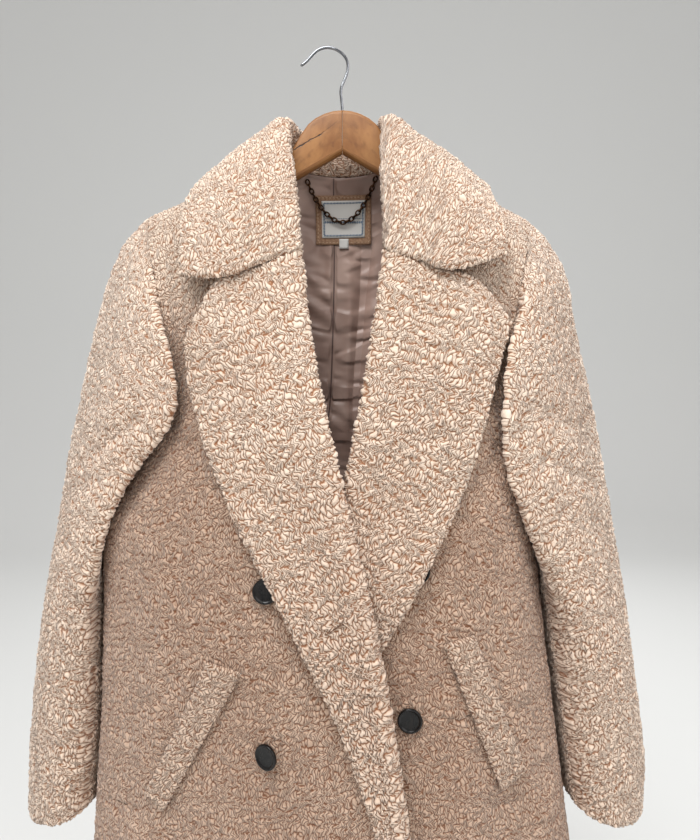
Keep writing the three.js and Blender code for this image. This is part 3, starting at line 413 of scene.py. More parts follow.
def wall(name, shape, us, vs, looks, out, at=(0.6, 0.6), thick=FUR, soft=(), pull=None, closed=False,
         lift=None, flat_at=None, coarse=6, turn=0.0, fur=None, level=None):
    """A cloth piece, thick on both sides of a middle surface; soft names its free, rounded edges."""
    u, v = np.meshgrid(us, vs)
    p = shape(u.ravel(), v.ravel()).reshape(*u.shape, 3)
    ring = np.concatenate([p, p[:, :1]], axis=1) if closed else p
    across, down = run_along(ring, 1, 0), run_along(p, 0, 0)
    k, mask = np.ones(u.shape), np.ones(u.shape)
    ends = {"u0": across, "u1": across[:, -1:] - across, "v0": down, "v1": down[-1:] - down}
    for edge, d in ends.items():
        if edge in soft:
            k = np.minimum(k, rim_at(d))
        elif not (closed and edge[0] == "u"):
            mask = np.minimum(mask, 0.7 + 0.3 * ease(d / 6))
    normal = slopes(p, closed)
    j, i = int(at[1] * (len(vs) - 1)), int(at[0] * (len(us) - 1))
    sense = 1 if normal[j, i] @ np.array(out, float) > 0 else -1
    normal = normal * sense
    if pull:
        normal = pull(u, v, normal)
    if flat_at:
        k = np.minimum(k, flat_at(u, v))
    off = lift(p, u, v) if lift else 0.0
    outer = p + normal * (off + thick / 2 * k)[..., None]
    inner = p + normal * (off - thick / 2 * k)[..., None]
    if level:
        out_x, down = np.abs(ring[..., 0]), -p[..., 2]
        across = ring[..., 0]
        if closed:
            most = out_x.argmax(axis=1)
            rows = np.arange(len(most))
            drop = np.maximum.accumulate(-ring[rows, most, 2])
            reach = np.interp(-ring[..., 2], drop, out_x[rows, most])
            arc = run_along(ring, 1, 0)
            facing = np.tanh((arc - arc[:, arc.shape[1] // 2, None]) / 30)
            facing = facing * np.tanh(np.minimum(arc, arc[:, -1:] - arc) / 12)
            across = (reach - out_x + 40) * facing + 400 * np.sign(ring[0, 0, 0])
            down = down + 0.5 * out_x[:, :-1]
    a = (across - (0 if level else across[:, across.shape[1] // 2, None])) * MM
    b = (np.concatenate([down, down[:, :1]], axis=1) if closed else down) * MM
    uv = np.stack([a * math.cos(turn) - b * math.sin(turn), a * math.sin(turn) + b * math.cos(turn)],
                  axis=-1)
    if sense < 0:
        outer, inner, mask = outer[:, ::-1], inner[:, ::-1], mask[:, ::-1]
        uv = uv[:, ::-1]
        if closed:
            outer, inner, mask = (np.roll(x, 1, axis=1) for x in (outer, inner, mask))
    lay = uv[:, :outer.shape[1]] if fur else None
    piece = sheet_mesh(name, outer, inner, uv, looks, coarse, closed, mask, lay)
    if fur:
        curl_up(piece, **fur)
    return piece


def node(tree, kind, *inputs, out=0, **settings):
    """A node with its settings, its inputs set or linked in order, and the output that goes on."""
    made = tree.nodes.new(kind)
    for key, value in settings.items():
        setattr(made, key, value)
    for socket, value in zip([s for s in made.inputs if s.enabled], inputs):
        if value is None:
            continue
        if isinstance(value, bpy.types.NodeSocket):
            tree.links.new(value, socket)
        else:
            socket.default_value = value
    return made.outputs[out]


def calc(tree, operation, a, b=None):
    return node(tree, "ShaderNodeMath", a, b, operation=operation)


def times(tree, a, b):
    return calc(tree, "MULTIPLY", a, b)


def plus(tree, a, b):
    return calc(tree, "ADD", a, b)


def minus(tree, a, b):
    return calc(tree, "SUBTRACT", a, b)


def parts(tree, vector):
    """The x, y and z of a vector, as three outputs."""
    made = tree.nodes.new("ShaderNodeSeparateXYZ")
    tree.links.new(vector, made.inputs[0])
    return made.outputs


def ranged(tree, value, low, high, to_low=0.0, to_high=1.0):
    return node(tree, "ShaderNodeMapRange", value, low, high, to_low, to_high,
                interpolation_type="SMOOTHSTEP")


def noise(tree, where, scale, detail=2.0, rough=0.5, out="Fac"):
    return node(tree, "ShaderNodeTexNoise", where, scale, detail, rough, out=out)


def curl_group(kind):
    """Lay is metres across and along the pile; Curl is 1 on a grain, 0 between; Tone is one value a grain."""
    group = bpy.data.node_groups.new("fur curls", kind)
    for name, value in (("Lay", None), ("Wide", 0.004), ("Tall", 0.0085), ("Swing", 0.0035),
                        ("Wave", 0.016)):
        kind_of = "NodeSocketVector" if value is None else "NodeSocketFloat"
        socket = group.interface.new_socket(name, in_out="INPUT", socket_type=kind_of)
        if value is not None:
            socket.default_value = value
    for name in ("Curl", "Tone"):
        group.interface.new_socket(name, in_out="OUTPUT", socket_type="NodeSocketFloat")
    start, end = group.nodes.new("NodeGroupInput"), group.nodes.new("NodeGroupOutput")
    lay, wide, tall, swing, wave = start.outputs[:5]
    x, y = parts(group, lay)[:2]
    drift = noise(group, lay, 30.0, 1.0)
    phase = plus(group, calc(group, "DIVIDE", y, wave), times(group, drift, 5.0))
    wiggle = calc(group, "SINE", times(group, phase, 2 * math.pi))
    x = plus(group, x, times(group, wiggle, swing))
    for scale, reach in ((44.0, 0.011), (140.0, 0.0052)):
        stir = parts(group, noise(group, lay, scale, 1.0, 0.5, "Color"))
        x = plus(group, x, times(group, minus(group, stir[0], 0.5), reach))
        y = plus(group, y, times(group, minus(group, stir[1], 0.5), reach))
    grain = node(group, "ShaderNodeCombineXYZ", calc(group, "DIVIDE", x, wide),
                 calc(group, "DIVIDE", y, tall), 0.0)
    cells = {"voronoi_dimensions": "2D"}
    edge = node(group, "ShaderNodeTexVoronoi", grain, 1.0, feature="DISTANCE_TO_EDGE", out="Distance",
                **cells)
    tone = parts(group, node(group, "ShaderNodeTexVoronoi", grain, 1.0, feature="F1", out="Color", **cells))
    full = calc(group, "POWER", calc(group, "MINIMUM", calc(group, "DIVIDE", edge, 0.3), 1.0), 0.75)
    tuft = node(group, "ShaderNodeCombineXYZ", calc(group, "DIVIDE", x, 0.012),
                calc(group, "DIVIDE", y, 0.017), 0.0)
    parted = node(group, "ShaderNodeTexVoronoi", tuft, 1.0, feature="DISTANCE_TO_EDGE", out="Distance",
                  **cells)
    closed = ranged(group, noise(group, lay, 47.0, 1.0), 0.44, 0.6)
    parting = calc(group, "MAXIMUM", ranged(group, parted, 0.0, 0.12, 0.6, 1.0), closed)
    group.links.new(times(group, full, parting), end.inputs["Curl"])
    group.links.new(tone[0], end.inputs["Tone"])
    return group


SURFACE_CURLS, RAISED_CURLS = curl_group("ShaderNodeTree"), curl_group("GeometryNodeTree")


def grouped(tree, group, *inputs):
    made = tree.nodes.new("GeometryNodeGroup" if tree.bl_idname == "GeometryNodeTree" else "ShaderNodeGroup")
    made.node_tree = group
    for socket, value in zip(made.inputs, inputs):
        if isinstance(value, bpy.types.NodeSocket):
            tree.links.new(value, socket)
        elif value is not None:
            socket.default_value = value
    return made


def raising():
    """Lifts the outer side of a fur piece along its normals, curl by curl, over slow lumps in the pile."""
    tree = bpy.data.node_groups.new("raise the pile", "GeometryNodeTree")
    tree.interface.new_socket("Geometry", in_out="INPUT", socket_type="NodeSocketGeometry")
    for name, value in (("High", 0.0022), ("Wide", 0.004), ("Tall", 0.0085), ("Swing", 0.0035),
                        ("Wave", 0.016)):
        tree.interface.new_socket(name, in_out="INPUT", socket_type="NodeSocketFloat").default_value = value
    tree.interface.new_socket("Geometry", in_out="OUTPUT", socket_type="NodeSocketGeometry")
    start, end = tree.nodes.new("NodeGroupInput"), tree.nodes.new("NodeGroupOutput")
    lay = node(tree, "GeometryNodeInputNamedAttribute", "lay", data_type="FLOAT_VECTOR", out=0)
    pile = node(tree, "GeometryNodeInputNamedAttribute", "pile", data_type="FLOAT", out=0)
    curls = grouped(tree, RAISED_CURLS, lay, *start.outputs[2:6])
    lumps = times(tree, minus(tree, noise(tree, lay, 42.0, 2.0), 0.5), 1.3)
    grains = plus(tree, minus(tree, curls.outputs[0], 0.55), lumps)
    grains = plus(tree, grains, times(tree, minus(tree, curls.outputs[1], 0.5), 0.2))
    rise = times(tree, times(tree, grains, start.outputs[1]), pile)
    offset = node(tree, "ShaderNodeVectorMath", node(tree, "GeometryNodeInputNormal"), rise,
                  operation="SCALE")
    moved = tree.nodes.new("GeometryNodeSetPosition")
    tree.links.new(start.outputs[0], moved.inputs["Geometry"])
    tree.links.new(offset, moved.inputs["Offset"])
    tree.links.new(moved.outputs[0], end.inputs[0])
    return tree


RAISE = raising()


def settled(piece, modifier):
    """The piece as its modifier leaves it, as a plain mesh."""
    made = piece.evaluated_get(bpy.context.evaluated_depsgraph_get())
    mesh = bpy.data.meshes.new_from_object(made)
    piece.modifiers.remove(modifier)
    old, piece.data = piece.data, mesh
    bpy.data.meshes.remove(old)
    mesh.name = piece.name
    return piece


def curl_up(piece, **sizes):
    modifier = piece.modifiers.new("pile", "NODES")
    modifier.node_group = RAISE
    for socket in RAISE.interface.items_tree:
        if socket.in_out == "INPUT" and socket.name in sizes:
            modifier[socket.identifier] = sizes[socket.name]
    settled(piece, modifier)


def look(name, colour, roughness, **sockets):
    """A material's Principled shader, with its plain values set on its own sockets."""
    material = bpy.data.materials.new(name)
    material.use_nodes = True
    shader = material.node_tree.nodes["Principled BSDF"]
    shader.inputs["Base Color"].default_value = (*colour, 1)
    shader.inputs["Roughness"].default_value = roughness
    for key, value in sockets.items():
        shader.inputs[key.replace("_", " ")].default_value = value
    return material, material.node_tree, shader


def shade(tree, factor, low, high, blend="MIX"):
    """A colour between two, or between a link and a colour."""
    mixed = tree.nodes.new("ShaderNodeMix")
    mixed.data_type, mixed.blend_type = "RGBA", blend
    for socket, value in ((mixed.inputs["Factor"], factor), (mixed.inputs[6], low),
                          (mixed.inputs[7], high)):
        if isinstance(value, bpy.types.NodeSocket):
            tree.links.new(value, socket)
        elif isinstance(value, tuple):
            socket.default_value = (*value, 1)
        else:
            socket.default_value = value
    return mixed.outputs[2]


def tinted(tree, shader, factor, low, high):
    tree.links.new(shade(tree, factor, low, high), shader.inputs["Base Color"])


def placed(tree):
    return node(tree, "ShaderNodeTexCoord", out="Object")


def along_cloth(tree):
    return node(tree, "ShaderNodeUVMap", uv_map="UVMap")


def bumped(tree, shader, height, distance, strength=1.0):
    bump = tree.nodes.new("ShaderNodeBump")
    bump.inputs["Strength"].default_value = strength
    bump.inputs["Distance"].default_value = distance
    tree.links.new(height, bump.inputs["Height"])
    tree.links.new(bump.outputs[0], shader.inputs["Normal"])


def fur_look(name, gap, mid, tip, sizes, soil, painted_shade, low=-0.62, high=-0.36):
    material, tree, shader = look(name, mid, 0.92, Sheen_Weight=0.3, Sheen_Roughness=0.5,
                                  Specular_IOR_Level=0.12)
    lay = along_cloth(tree)
    place = placed(tree)
    curls = grouped(tree, SURFACE_CURLS, lay, *(sizes[key] for key in ("Wide", "Tall", "Swing", "Wave")))
    strands = noise(tree, lay, 900.0, 2.0, 0.6)
    curl = plus(tree, curls.outputs["Curl"], times(tree, minus(tree, strands, 0.5), 0.3))
    own = plus(tree, times(tree, curls.outputs["Tone"], 0.55), 0.35)
    # Each curl's crest lightens from mid towards tip, scaled by the grain's own random tone: painted
    # highlight on the crests.
    lit = times(tree, ranged(tree, curl, 0.4, 1.05), own)
    colour = shade(tree, lit, mid, tip)
    worn = ranged(tree, noise(tree, place, 9.0, 3.0), 0.42, 0.68)
    colour = shade(tree, times(tree, worn, soil * 0.6), colour, gap)
    # The crevices between curls darken towards gap: the fur's darker roots, and painted shade in the hollows.
    colour = shade(tree, ranged(tree, curl, 0.1, 0.62), gap, colour)
    # Painted shade: the fur is multiplied darker towards the bottom, between the given heights in metres, as
    # strongly as each material's painted-shade weight says.
    below = times(tree, ranged(tree, parts(tree, place)[2], low, high, 1.0, 0.0), painted_shade)
    colour = shade(tree, below, colour, rgb(220, 207, 200), "MULTIPLY")
    tree.links.new(colour, shader.inputs["Base Color"])
    bumped(tree, shader, curl, 0.001)
    return material


def rgb(r, g, b):
    """A colour as it's seen, from 0 to 255, in the shader's own linear scale."""
    linear = lambda c: c / 12.92 if c <= 0.04045 else ((c + 0.055) / 1.055) ** 2.4
    return tuple(linear(c / 255) for c in (r, g, b))


# The pile lies finer and flatter on the body than on sleeves, collar and lapels. The body's colours are a
# little darker than theirs, and it takes the full painted shade from the chest down: painted shade on one and
# the same fur.
FINE = {"High": 0.0019, "Wide": 0.0025, "Tall": 0.0072, "Swing": 0.0013, "Wave": 0.0092}
body_fur = fur_look("body fur", rgb(140, 99, 72), rgb(222, 199, 178), rgb(238, 219, 200), FINE, 0.25, 1.0,
                    -0.4, -0.22)


def satin_look(name, colour, deep, seam=False):
    material, tree, shader = look(name, colour, 0.42, Sheen_Weight=0.2, Specular_IOR_Level=0.45)
    lay = along_cloth(tree)
    threads = node(tree, "ShaderNodeMapping", lay, None, None, (1.0, 0.12, 1.0))
    weave = noise(tree, threads, 1500.0, 1.0)
    cloud = noise(tree, lay, 14.0, 3.0)
    colour = shade(tree, ranged(tree, cloud, 0.35, 0.7), deep, colour)
    slack = noise(tree, node(tree, "ShaderNodeMapping", lay, None, (0.0, 0.0, 0.7), (0.5, 1.3, 1.0)), 26.0,
                  1.0, 0.4)
    slack = calc(tree, "ABSOLUTE", minus(tree, slack, 0.5))
    if seam:
        off = calc(tree, "ABSOLUTE", parts(tree, node(tree, "ShaderNodeTexCoord", out="UV"))[0])
        colour = shade(tree, ranged(tree, off, 0.0004, 0.0013), rgb(88, 66, 60), colour)
        slack = times(tree, slack, ranged(tree, off, 0.0, 0.005))
    tree.links.new(colour, shader.inputs["Base Color"])
    tree.links.new(ranged(tree, weave, 0.2, 0.8, 0.36, 0.5), shader.inputs["Roughness"])
    bumped(tree, shader, ranged(tree, slack, 0.0, 0.1), 0.0022)
    return material


satin = satin_look("mauve satin", rgb(196, 170, 158), rgb(170, 142, 130))


def cloth(piece, slot, nodes, flat, area, held="hung", rests_on=("hanger_right", "hanger_left"), **more):
    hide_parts(*nodes)
    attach(piece, "root")
    return piece


EDGE = SEAM / 2 / 250
HEM = SEAM / 2 / 600
for name, side, shape, flat, area in (
    ("front_right", -1, front_right, (0.4, 1.02), 0.293),
    ("front_left", 1, front_left, (0.36, 1.02), 0.265),
):
    us = spread(shape, 0.6, 0, 2.1 * CELL, EDGE, 1 - EDGE)
    vs = spread(shape, 0.5, 1, 2.1 * CELL, HEM, 1, (False, True))

    def pull(u, v, normal, side=side, shape=shape):
        top = shape(u.ravel(), np.zeros(u.size)).reshape(*u.shape, 3)[..., 0]
        return sewn(normal, [
            (v * 1000, 24, shoulder_out(top)), ((1 - u) * 200, 22, front_edge_out(side, v * ROWS)),
            (u * 330, 34, side_out(side, v, 1)),
        ])
    piece = wall(name + "_fur", shape, us, vs, [body_fur, satin], (0, -1, 0), soft=("v1",), pull=pull,
                 fur=FINE)
    cloth(piece, "fur", [name], flat, area)

# Back: one panel of the same fur, its centre seam lost under the pile, sewn to both fronts at shoulder and
# side and to the collar round the neck. w runs from -1 to 1, from one side to the other.
FOLDS["back"] = [
    (-60, -300, -75, -1090, 34, 5), (0, -420, 4, -1090, 30, -6), (70, -360, 82, -1090, 34, 5),
    (-140, -450, -160, -1090, 30, -5), (145, -450, 165, -1090, 30, -5), (-215, -560, -232, -1090, 28, 4),
    (200, -560, 218, -1090, 28, 4),
]
NECK = 0.65
BACK = [
    (0, (0, -117), (38, -131), 0, 1, 0.5), (1 / 6, (30, -140), (43, -152), 0, 1, 0.8),
    (2 / 6, (43, -178), (49, -184), 0, 1, 1), (3 / 6, (50, -226), (52, -230), 0, 1, 1),
    (4 / 6, (53, -285), (54, -290), 0.2, 1, 1), (5 / 6, (55, -348), (56, -352), 0.5, 0.9, 1),
    (1, (57, -400), (58, -404), 0.9, 0.8, 1), ((-222, 200, -470), (58, -455), (59, -456), 1, 0.75, 1),
    ((-251, 205, -519), (59, -512), (60, -512), 1, 0.72, 1),
    ((-254, 215, -608), (60, -605), (61, -605), 1, 0.7, 1),
    ((-258, 229, -719), (61, -719), (62, -719), 1, 0.7, 1),
    ((-265, 242, -821), (61, -821), (62, -821), 1, 0.7, 1),
    ((-272, 254, -920), (61, -920), (62, -920), 1, 0.7, 1),
    ((-277, 261, -1010), (60, -1010), (61, -1010), 1, 0.7, 1),
    ((-282, 267, -1100), (60, -1100), (61, -1100), 1, 0.7, 1),
]


def back_row(row, w):
    first, neck, mid, rounded, square, bend = row
    side, u = np.where(w < 0, -1.0, 1.0), 1 - np.abs(w)
    if isinstance(first, tuple):
        o = points(np.where(w < 0, first[0], first[1]), 1, first[2])
    else:
        o = armhole(side, -np.pi * first)
    x = lerp(o[:, 0], 0, lerp(u, 1 - np.cos(u * np.pi / 2), rounded))
    s = np.clip((u - NECK) / (1 - NECK), 0, 1)
    rise = (1 - (1 - s) ** 2) ** bend
    t = np.clip(u / NECK, 0, 1)
    y = np.where(u > NECK, lerp(neck[0], mid[0], rise),
                 lerp(o[:, 1], neck[0], np.sin(t * np.pi / 2) ** square))
    if first == 0:
        z = np.where(u < NECK, ridge(x), lerp(neck[1], mid[1], rise ** 1.5))
        x = np.where(u > NECK, side * 72 * (1 - s), x)
    else:
        z = np.where(u > NECK, lerp(neck[1], mid[1], rise), lerp(o[:, 2], neck[1], t))
    return points(x, y, z)


def back_panel(w, v):
    w, v = np.broadcast_arrays(np.atleast_1d(np.asarray(w, float)), np.asarray(v, float))
    side, row = np.where(w < 0, -1.0, 1.0), v * ROWS
    rows = np.array([back_row(r, w) for r in BACK])
    starts = np.array([back_row(r, side) for r in BACK])
    p = on_armhole(through(rows, row), through(starts, row), side, 1 - np.abs(w), row, -1)
    p[:, 1] += pressed("back", p) * ease((1 - np.abs(w)) / 0.12)
    return p


FULL = {"High": 0.0028, "Wide": 0.0028, "Tall": 0.0082, "Swing": 0.0015, "Wave": 0.0104}


def back_pull(w, v, normal):
    side, in_neck = np.where(w < 0, -1.0, 1.0), (np.abs(w) < 1 - NECK + 1e-6)[..., None]
    top = back_panel(w.ravel(), np.zeros(w.size)).reshape(*w.shape, 3)[..., 0]
    over = np.where(in_neck, neck_out(7 + w / (1 - NECK) * 3), shoulder_out(top))
    return sewn(normal, [(v * 1000, 24, over), ((1 - np.abs(w)) * 330, 34, side_out(side, v, -1))])


ws = spread(back_panel, 0.6, 0, 3.1 * CELL, EDGE - 1, 1 - EDGE)
vs = spread(back_panel, 0.5, 1, 3.1 * CELL, HEM, 1, (False, True))
piece = wall("back_fur", back_panel, ws, vs, [body_fur, satin], (0, 1, 0), (0.5, 0.5), soft=("v1",),
             pull=back_pull, fur=FULL)
cloth(piece, "fur", ["back"], (0.62, 1.02), 0.503)

# Sleeves: each a tube of fur with one seam underneath, set into the armhole and open at the cuff. The arm's
# weight of cloth creases at the inner elbow, and the front edge is keen where it was pressed flat.
FOLDS["sleeve_right"] = [
    (-205, -410, -262, -450, 13, -5), (-214, -448, -286, -492, 13, -4), (-200, -330, -235, -400, 18, 3),
    (-300, -560, -318, -700, 18, 3), (-272, -600, -290, -760, 16, -3),
]
FOLDS["sleeve_left"] = [
    (196, -395, 262, -430, 13, -4), (205, -450, 275, -478, 12, -4.5), (222, -505, 292, -530, 14, -3),
    (236, -330, 250, -400, 18, 3), (290, -640, 305, -790, 16, 3),
]
# A ring a row: outer x and z, inner x and z, the front's x and y, the back's y, how keen the edge is
SLEEVE = {
    "right": [
        (-226, -214, -221, -431, -182, -66, 51, 1), (-243.5, -248, -235, -441, -171, -77, 54, 1),
        (-261, -306, -247, -464, -163, -83, 57, 1), (-276, -372, -259, -498, -198, -78, 60, 1),
        (-290, -440, -262, -542, -233, -73, 63, 0.96), (-303, -512, -262, -590, -254, -66, 65, 0.92),
        (-318, -594, -264, -642, -274, -60, 66, 0.9), (-331, -680, -267, -712, -286, -54, 66, 0.86),
        (-340, -770, -272, -790, -295, -50, 64, 0.86), (-343, -842, -276, -830, -300, -46, 62, 0.88),
    ],
    "left": [
        (221, -217, 215, -432, 180, -66, 51, 1), (238.5, -250, 221, -441, 169, -77, 54, 1),
        (250, -307, 221, -461, 164, -84, 57, 1), (265, -372, 218, -494, 166, -82, 60, 1),
        (279, -440, 217, -534, 186, -78, 62, 0.96), (293, -517, 222, -586, 219, -69, 64, 0.92),
        (307, -598, 230, -640, 252, -62, 66, 0.88), (320, -687, 241, -715, 270, -56, 66, 0.86),
        (332, -778, 251, -792, 280, -52, 64, 0.86), (331, -842, 257, -829, 284, -48, 62, 0.88),
    ],
}


def sleeve_row(row, a):
    ox, oz, ix, iz, crest, front, back, keen = row
    c, s = np.cos(a), np.sin(a)
    e = 0.5 + 0.5 * np.sign(c) * np.abs(c) ** (1 / keen)
    aside = (crest - (ix + ox) / 2) * np.maximum(0, s) ** 2.5
    return points(lerp(ix, ox, e) + aside, np.where(s > 0, -0.5 + (front + 0.5) * s,
                                                    -0.5 - (back + 0.5) * s),
                  lerp(iz, oz, e))


def sleeve_tube(name, side, key):
    def shape(u, v):
        u, v = np.broadcast_arrays(np.atleast_1d(np.asarray(u, float)), np.asarray(v, float))
        a = u * 2 * np.pi
        rows = np.array([armhole(side, a)] + [sleeve_row(r, a) for r in SLEEVE[key]])
        p = through(rows, v * 10)
        p[:, 1] -= np.where(np.sin(a) > 0, pressed(name, p) * ease(v / 0.12) * np.sin(a), 0)
        return p
    return shape


# The sleeves' colours are a little lighter than the collar's: painted light on one and the same fur; a little
# painted shade darkens them low down.
sleeve_fur = fur_look("sleeve fur", rgb(156, 108, 76), rgb(233, 210, 189), rgb(246, 228, 210), FULL, 0.2,
                      0.25)
for name, side, key, flat, area in (
    ("sleeve_right", -1, "right", (0.36, 0.68), 0.187), ("sleeve_left", 1, "left", (0.36, 0.68), 0.198),
):
    shape = sleeve_tube(name, side, key)
    us = spread(shape, 0.4, 0, 2.2 * CELL, 0.5, 1.5)
    vs = spread(shape, 0.25, 1, 2.2 * CELL, SEAM / 2 / 300, 1, (False, True))

    def pull(u, v, normal, side=side):
        return sewn(normal, [(v * 620, 22, arm_out(side, u * 2 * np.pi))])

    def flat_at(u, v):
        under = np.minimum(np.abs(u - 0.5), np.abs(u - 1.5)) / 0.22
        return lerp(lerp(1, 0.45, ease(1 - under)), 1, ease(v * 620 / 40))
    piece = wall(name + "_fur", shape, us[:-1], vs, [sleeve_fur, satin], (0, -1, 0), (0.75, 0.5),
                 soft=("v1",), pull=pull, flat_at=flat_at, closed=True, fur=FULL, level="round")
    cloth(piece, "fur", [name], flat, area)

# Collar: stand and fall in one piece of fur, doubled, sewn round the neck and rolled over a fold. A row is
# a station from the viewer's left gorge round the back: the fold, the middle and the edge of the fall.
ROLL = 6.5
COLLAR = [
    ((-40.5, -70, -239), (-112, -89, -270), (-156, -81, -268)),
    ((-44, -60, -203), (-105, -80, -223), (-158.5, -70, -229)),
    ((-48.5, -46, -164), (-108, -66, -183), (-159.5, -53, -199)),
    ((-55, -26, -122), (-108, -42, -142.5), (-160, -31, -177)),
    ((-57, -4, -86), (-110, -8, -119.5), (-156, -2, -156.5)),
    ((-44, 24, -88), (-94, 40, -122), (-138, 38, -167)),
    ((-22, 38, -91), (-50, 59, -133), (-72, 62, -184)), ((-1, 43, -93), (0, 62, -138), (0, 66, -190)),
    ((20, 38, -91), (50, 59, -133), (74, 62, -184)), ((38, 24, -87), (95, 40, -126), (139, 38, -168)),
    ((46, -4, -83), (111, -8, -121.5), (160, -2, -158.5)),
    ((45, -26, -122), (109, -42, -145), (161, -31, -180)),
    ((45, -46, -164), (112, -66, -181), (164, -52, -201)),
    ((46, -60, -203), (112, -80, -219), (165, -69, -225)),
    ((46.5, -70, -239), (104, -89, -263), (162, -80, -247.5)),
]


def neck_edge(k):
    k = np.atleast_1d(np.asarray(k, float))
    r = front_right(np.ones_like(k), np.clip((4 - k) / ROWS, 0, 1))
    l = front_left(np.ones_like(k), np.clip((k - 10) / ROWS, 0, 1))
    b = back_panel(np.clip((k - 7) / 3, -1, 1) * (1 - NECK), np.zeros_like(k))
    return np.where((k < 4)[:, None], r, np.where((k > 10)[:, None], l, b))


def turn_over(seam, fold, over, edge):
    """Up from the seam, round the fold and down to the outer edge, as seven points."""
    fold, over, edge = (np.array(p, float) for p in (fold, over, edge))
    t, back = unit(over - fold), fold - seam
    along = float(back @ t)
    away = back - t * along
    k = min(1.0, ROLL / max(float(length(away)[0]), 1e-9))
    near = fold + t * float(np.clip(abs(along), 4, 8)) + away * k * 0.9
    up = lerp(seam, fold, 0.5) + unit(away) * (-0.03 * float(length(back)[0]) - 0.4)
    return np.array([seam, up, fold, near, lerp(near, over, 0.5), over, edge])


COLLAR_ROWS = [turn_over(neck_edge(k)[0], *row) for k, row in enumerate(COLLAR)]


def collar_shape(u, v):
    u, v = np.broadcast_arrays(np.atleast_1d(np.asarray(u, float)), np.asarray(v, float))
    rows = np.array([through(r, u * 6) for r in COLLAR_ROWS])
    starts = np.array([r[0] for r in COLLAR_ROWS])
    near = ease(1 - u * 6)[:, None]
    return through(rows, v * ROWS) + (neck_edge(v * ROWS) - through(starts, v * ROWS)) * near


# The collar and lapels share this fur; some painted shade darkens the lapels low down.
collar_fur = fur_look("collar fur", rgb(156, 108, 76), rgb(226, 203, 182), rgb(240, 221, 203), FULL, 0.15,
                      0.35)
us = spread(collar_shape, 0.25, 0, 1.8 * CELL, 0.012, 1, (False, True))
vs = spread(collar_shape, 0.7, 1, 1.8 * CELL, 0.0012, 1 - 0.0012, (True, True))
piece = wall(
    "collar_fur", collar_shape, us, vs, [collar_fur, collar_fur], (0, -1, 0), (0.8, 0.1),
    soft=("u1", "v0", "v1"), pull=lambda u, v, n: sewn(n, [(u * 100, 14, -neck_out(v * ROWS))]),
    flat_at=lambda u, v: lerp(0.6, 1, ease(u * 100 / 12)), fur=FULL,
)
cloth(piece, "fur", ["collar"], (0.19, 0.6), 0.092)

# Lapels: the facings of the fronts, cut in the same fur, sewn on along the front edge and turned out over the
# roll. They lie a little above the fronts and lift at their outer edge.
HOVER = 2.4
FOLDS["lapel_right"] = [(-112, -470, -60, -486, 9, -2.2), (-96, -330, -60, -420, 26, 3)]
FOLDS["lapel_left"] = [(60, -430, 118, -418, 9, -2), (80, -330, 60, -420, 24, 3)]


def onto(shape, x, z, u=0.7, v=0.3, least=0.0):
    """Where a surface seen from the front has each x and z: its points, and u and v there."""
    x, z = np.broadcast_arrays(np.atleast_1d(np.asarray(x, float)), np.asarray(z, float))
    u, v, h = np.full(x.shape, float(u)), np.full(x.shape, float(v)), 1e-3
    for _ in range(24):
        hu, hv = np.where(u + h > 1, -h, h), np.where(v + h > 1, -h, h)
        p, a, b = shape(u, v), shape(u + hu, v), shape(u, v + hv)
        ux, uz = (a[:, 0] - p[:, 0]) / hu, (a[:, 2] - p[:, 2]) / hu
        vx, vz = (b[:, 0] - p[:, 0]) / hv, (b[:, 2] - p[:, 2]) / hv
        det = ux * vz - uz * vx
        det = np.where(np.abs(det) < 1e-9, 1e-9, det)
        dx, dz = x - p[:, 0], z - p[:, 2]
        u = np.clip(u + np.clip((dx * vz - dz * vx) / det, -0.2, 0.2), least, 1)
        v = np.clip(v + np.clip((dz * ux - dx * uz) / det, -0.2, 0.2), 0, 1)
    return shape(u, v)


# A row: where the roll starts on the front's edge, the outer edge's x and z, the row's bow, the edge's lift
LAPEL = {
    "right": [
        (-236, -152, -329, 31, 4), (-268, -151.5, -347, 15, 4), (-325, -146, -382, 4, 2),
        (-400, -131, -430, 0, 1),
        (-480, -98, -508, 0, 1), (-580, -51, -598, 0, 5.5), (-700, 0, -705, 0, 1), (-805, 35, -808, 0, 0.5),
        (-900, 62, -901, 0, 0.5), (-985, 82, -986, 0, 0),
    ],
    "left": [
        (-236, 171, -311, 20, 5), (-275, 165, -333, 9, 4.5), (-335, 154, -370, 0, 3),
        (-400, 141, -417, 0, 1),
        (-470, 119, -482, 0, 1), (-550, 83, -559, 0, 7), (-625, 46, -629, 0, 1), (-695, 8, -696, 0, 0),
        (-750, -22, -751, 0, 0),
    ],
}


def lapel_shape(name, key, panel, side):
    rows = []
    for fold_z, edge_x, edge_z, bow, lift in LAPEL[key]:
        v = 0.3
        for _ in range(40):
            v = float(np.clip(v - (panel(1.0, v)[0, 2] - fold_z) / -1100, 0, 1))
        seam = panel(1.0, v)[0]
        fold = seam + np.array([-side * ROLL, -ROLL, 0])
        near = seam + np.array([side * 1.0, -2 * ROLL, -4 if fold_z > -244 else 0])
        laid = []
        for t, rise, hover in ((0.38, bow * 0.5, 1.5 + lift * 0.3), (0.72, bow, 0.8 + lift * 0.7),
                               (1, 0, lift)):
            x, z = lerp(fold[0], edge_x, t), lerp(fold[2], edge_z, t) + rise
            laid.append(np.array([x, onto(panel, x, z)[0, 1] - FUR - HOVER - hover, z]))
        turn = np.array([lerp(seam[0], fold[0], 0.75), lerp(seam[1], fold[1], 0.25), seam[2]])
        rows.append(np.array([seam, turn, fold, near, *laid]))

    def shape(u, v):
        u, v = np.broadcast_arrays(np.atleast_1d(np.asarray(u, float)), np.asarray(v, float))
        p = through(np.array([through(r, u * 6) for r in rows]), v * (len(rows) - 1))
        p[:, 1] -= pressed(name, p) * ease((u - 0.55) / 0.15)
        return p
    return shape


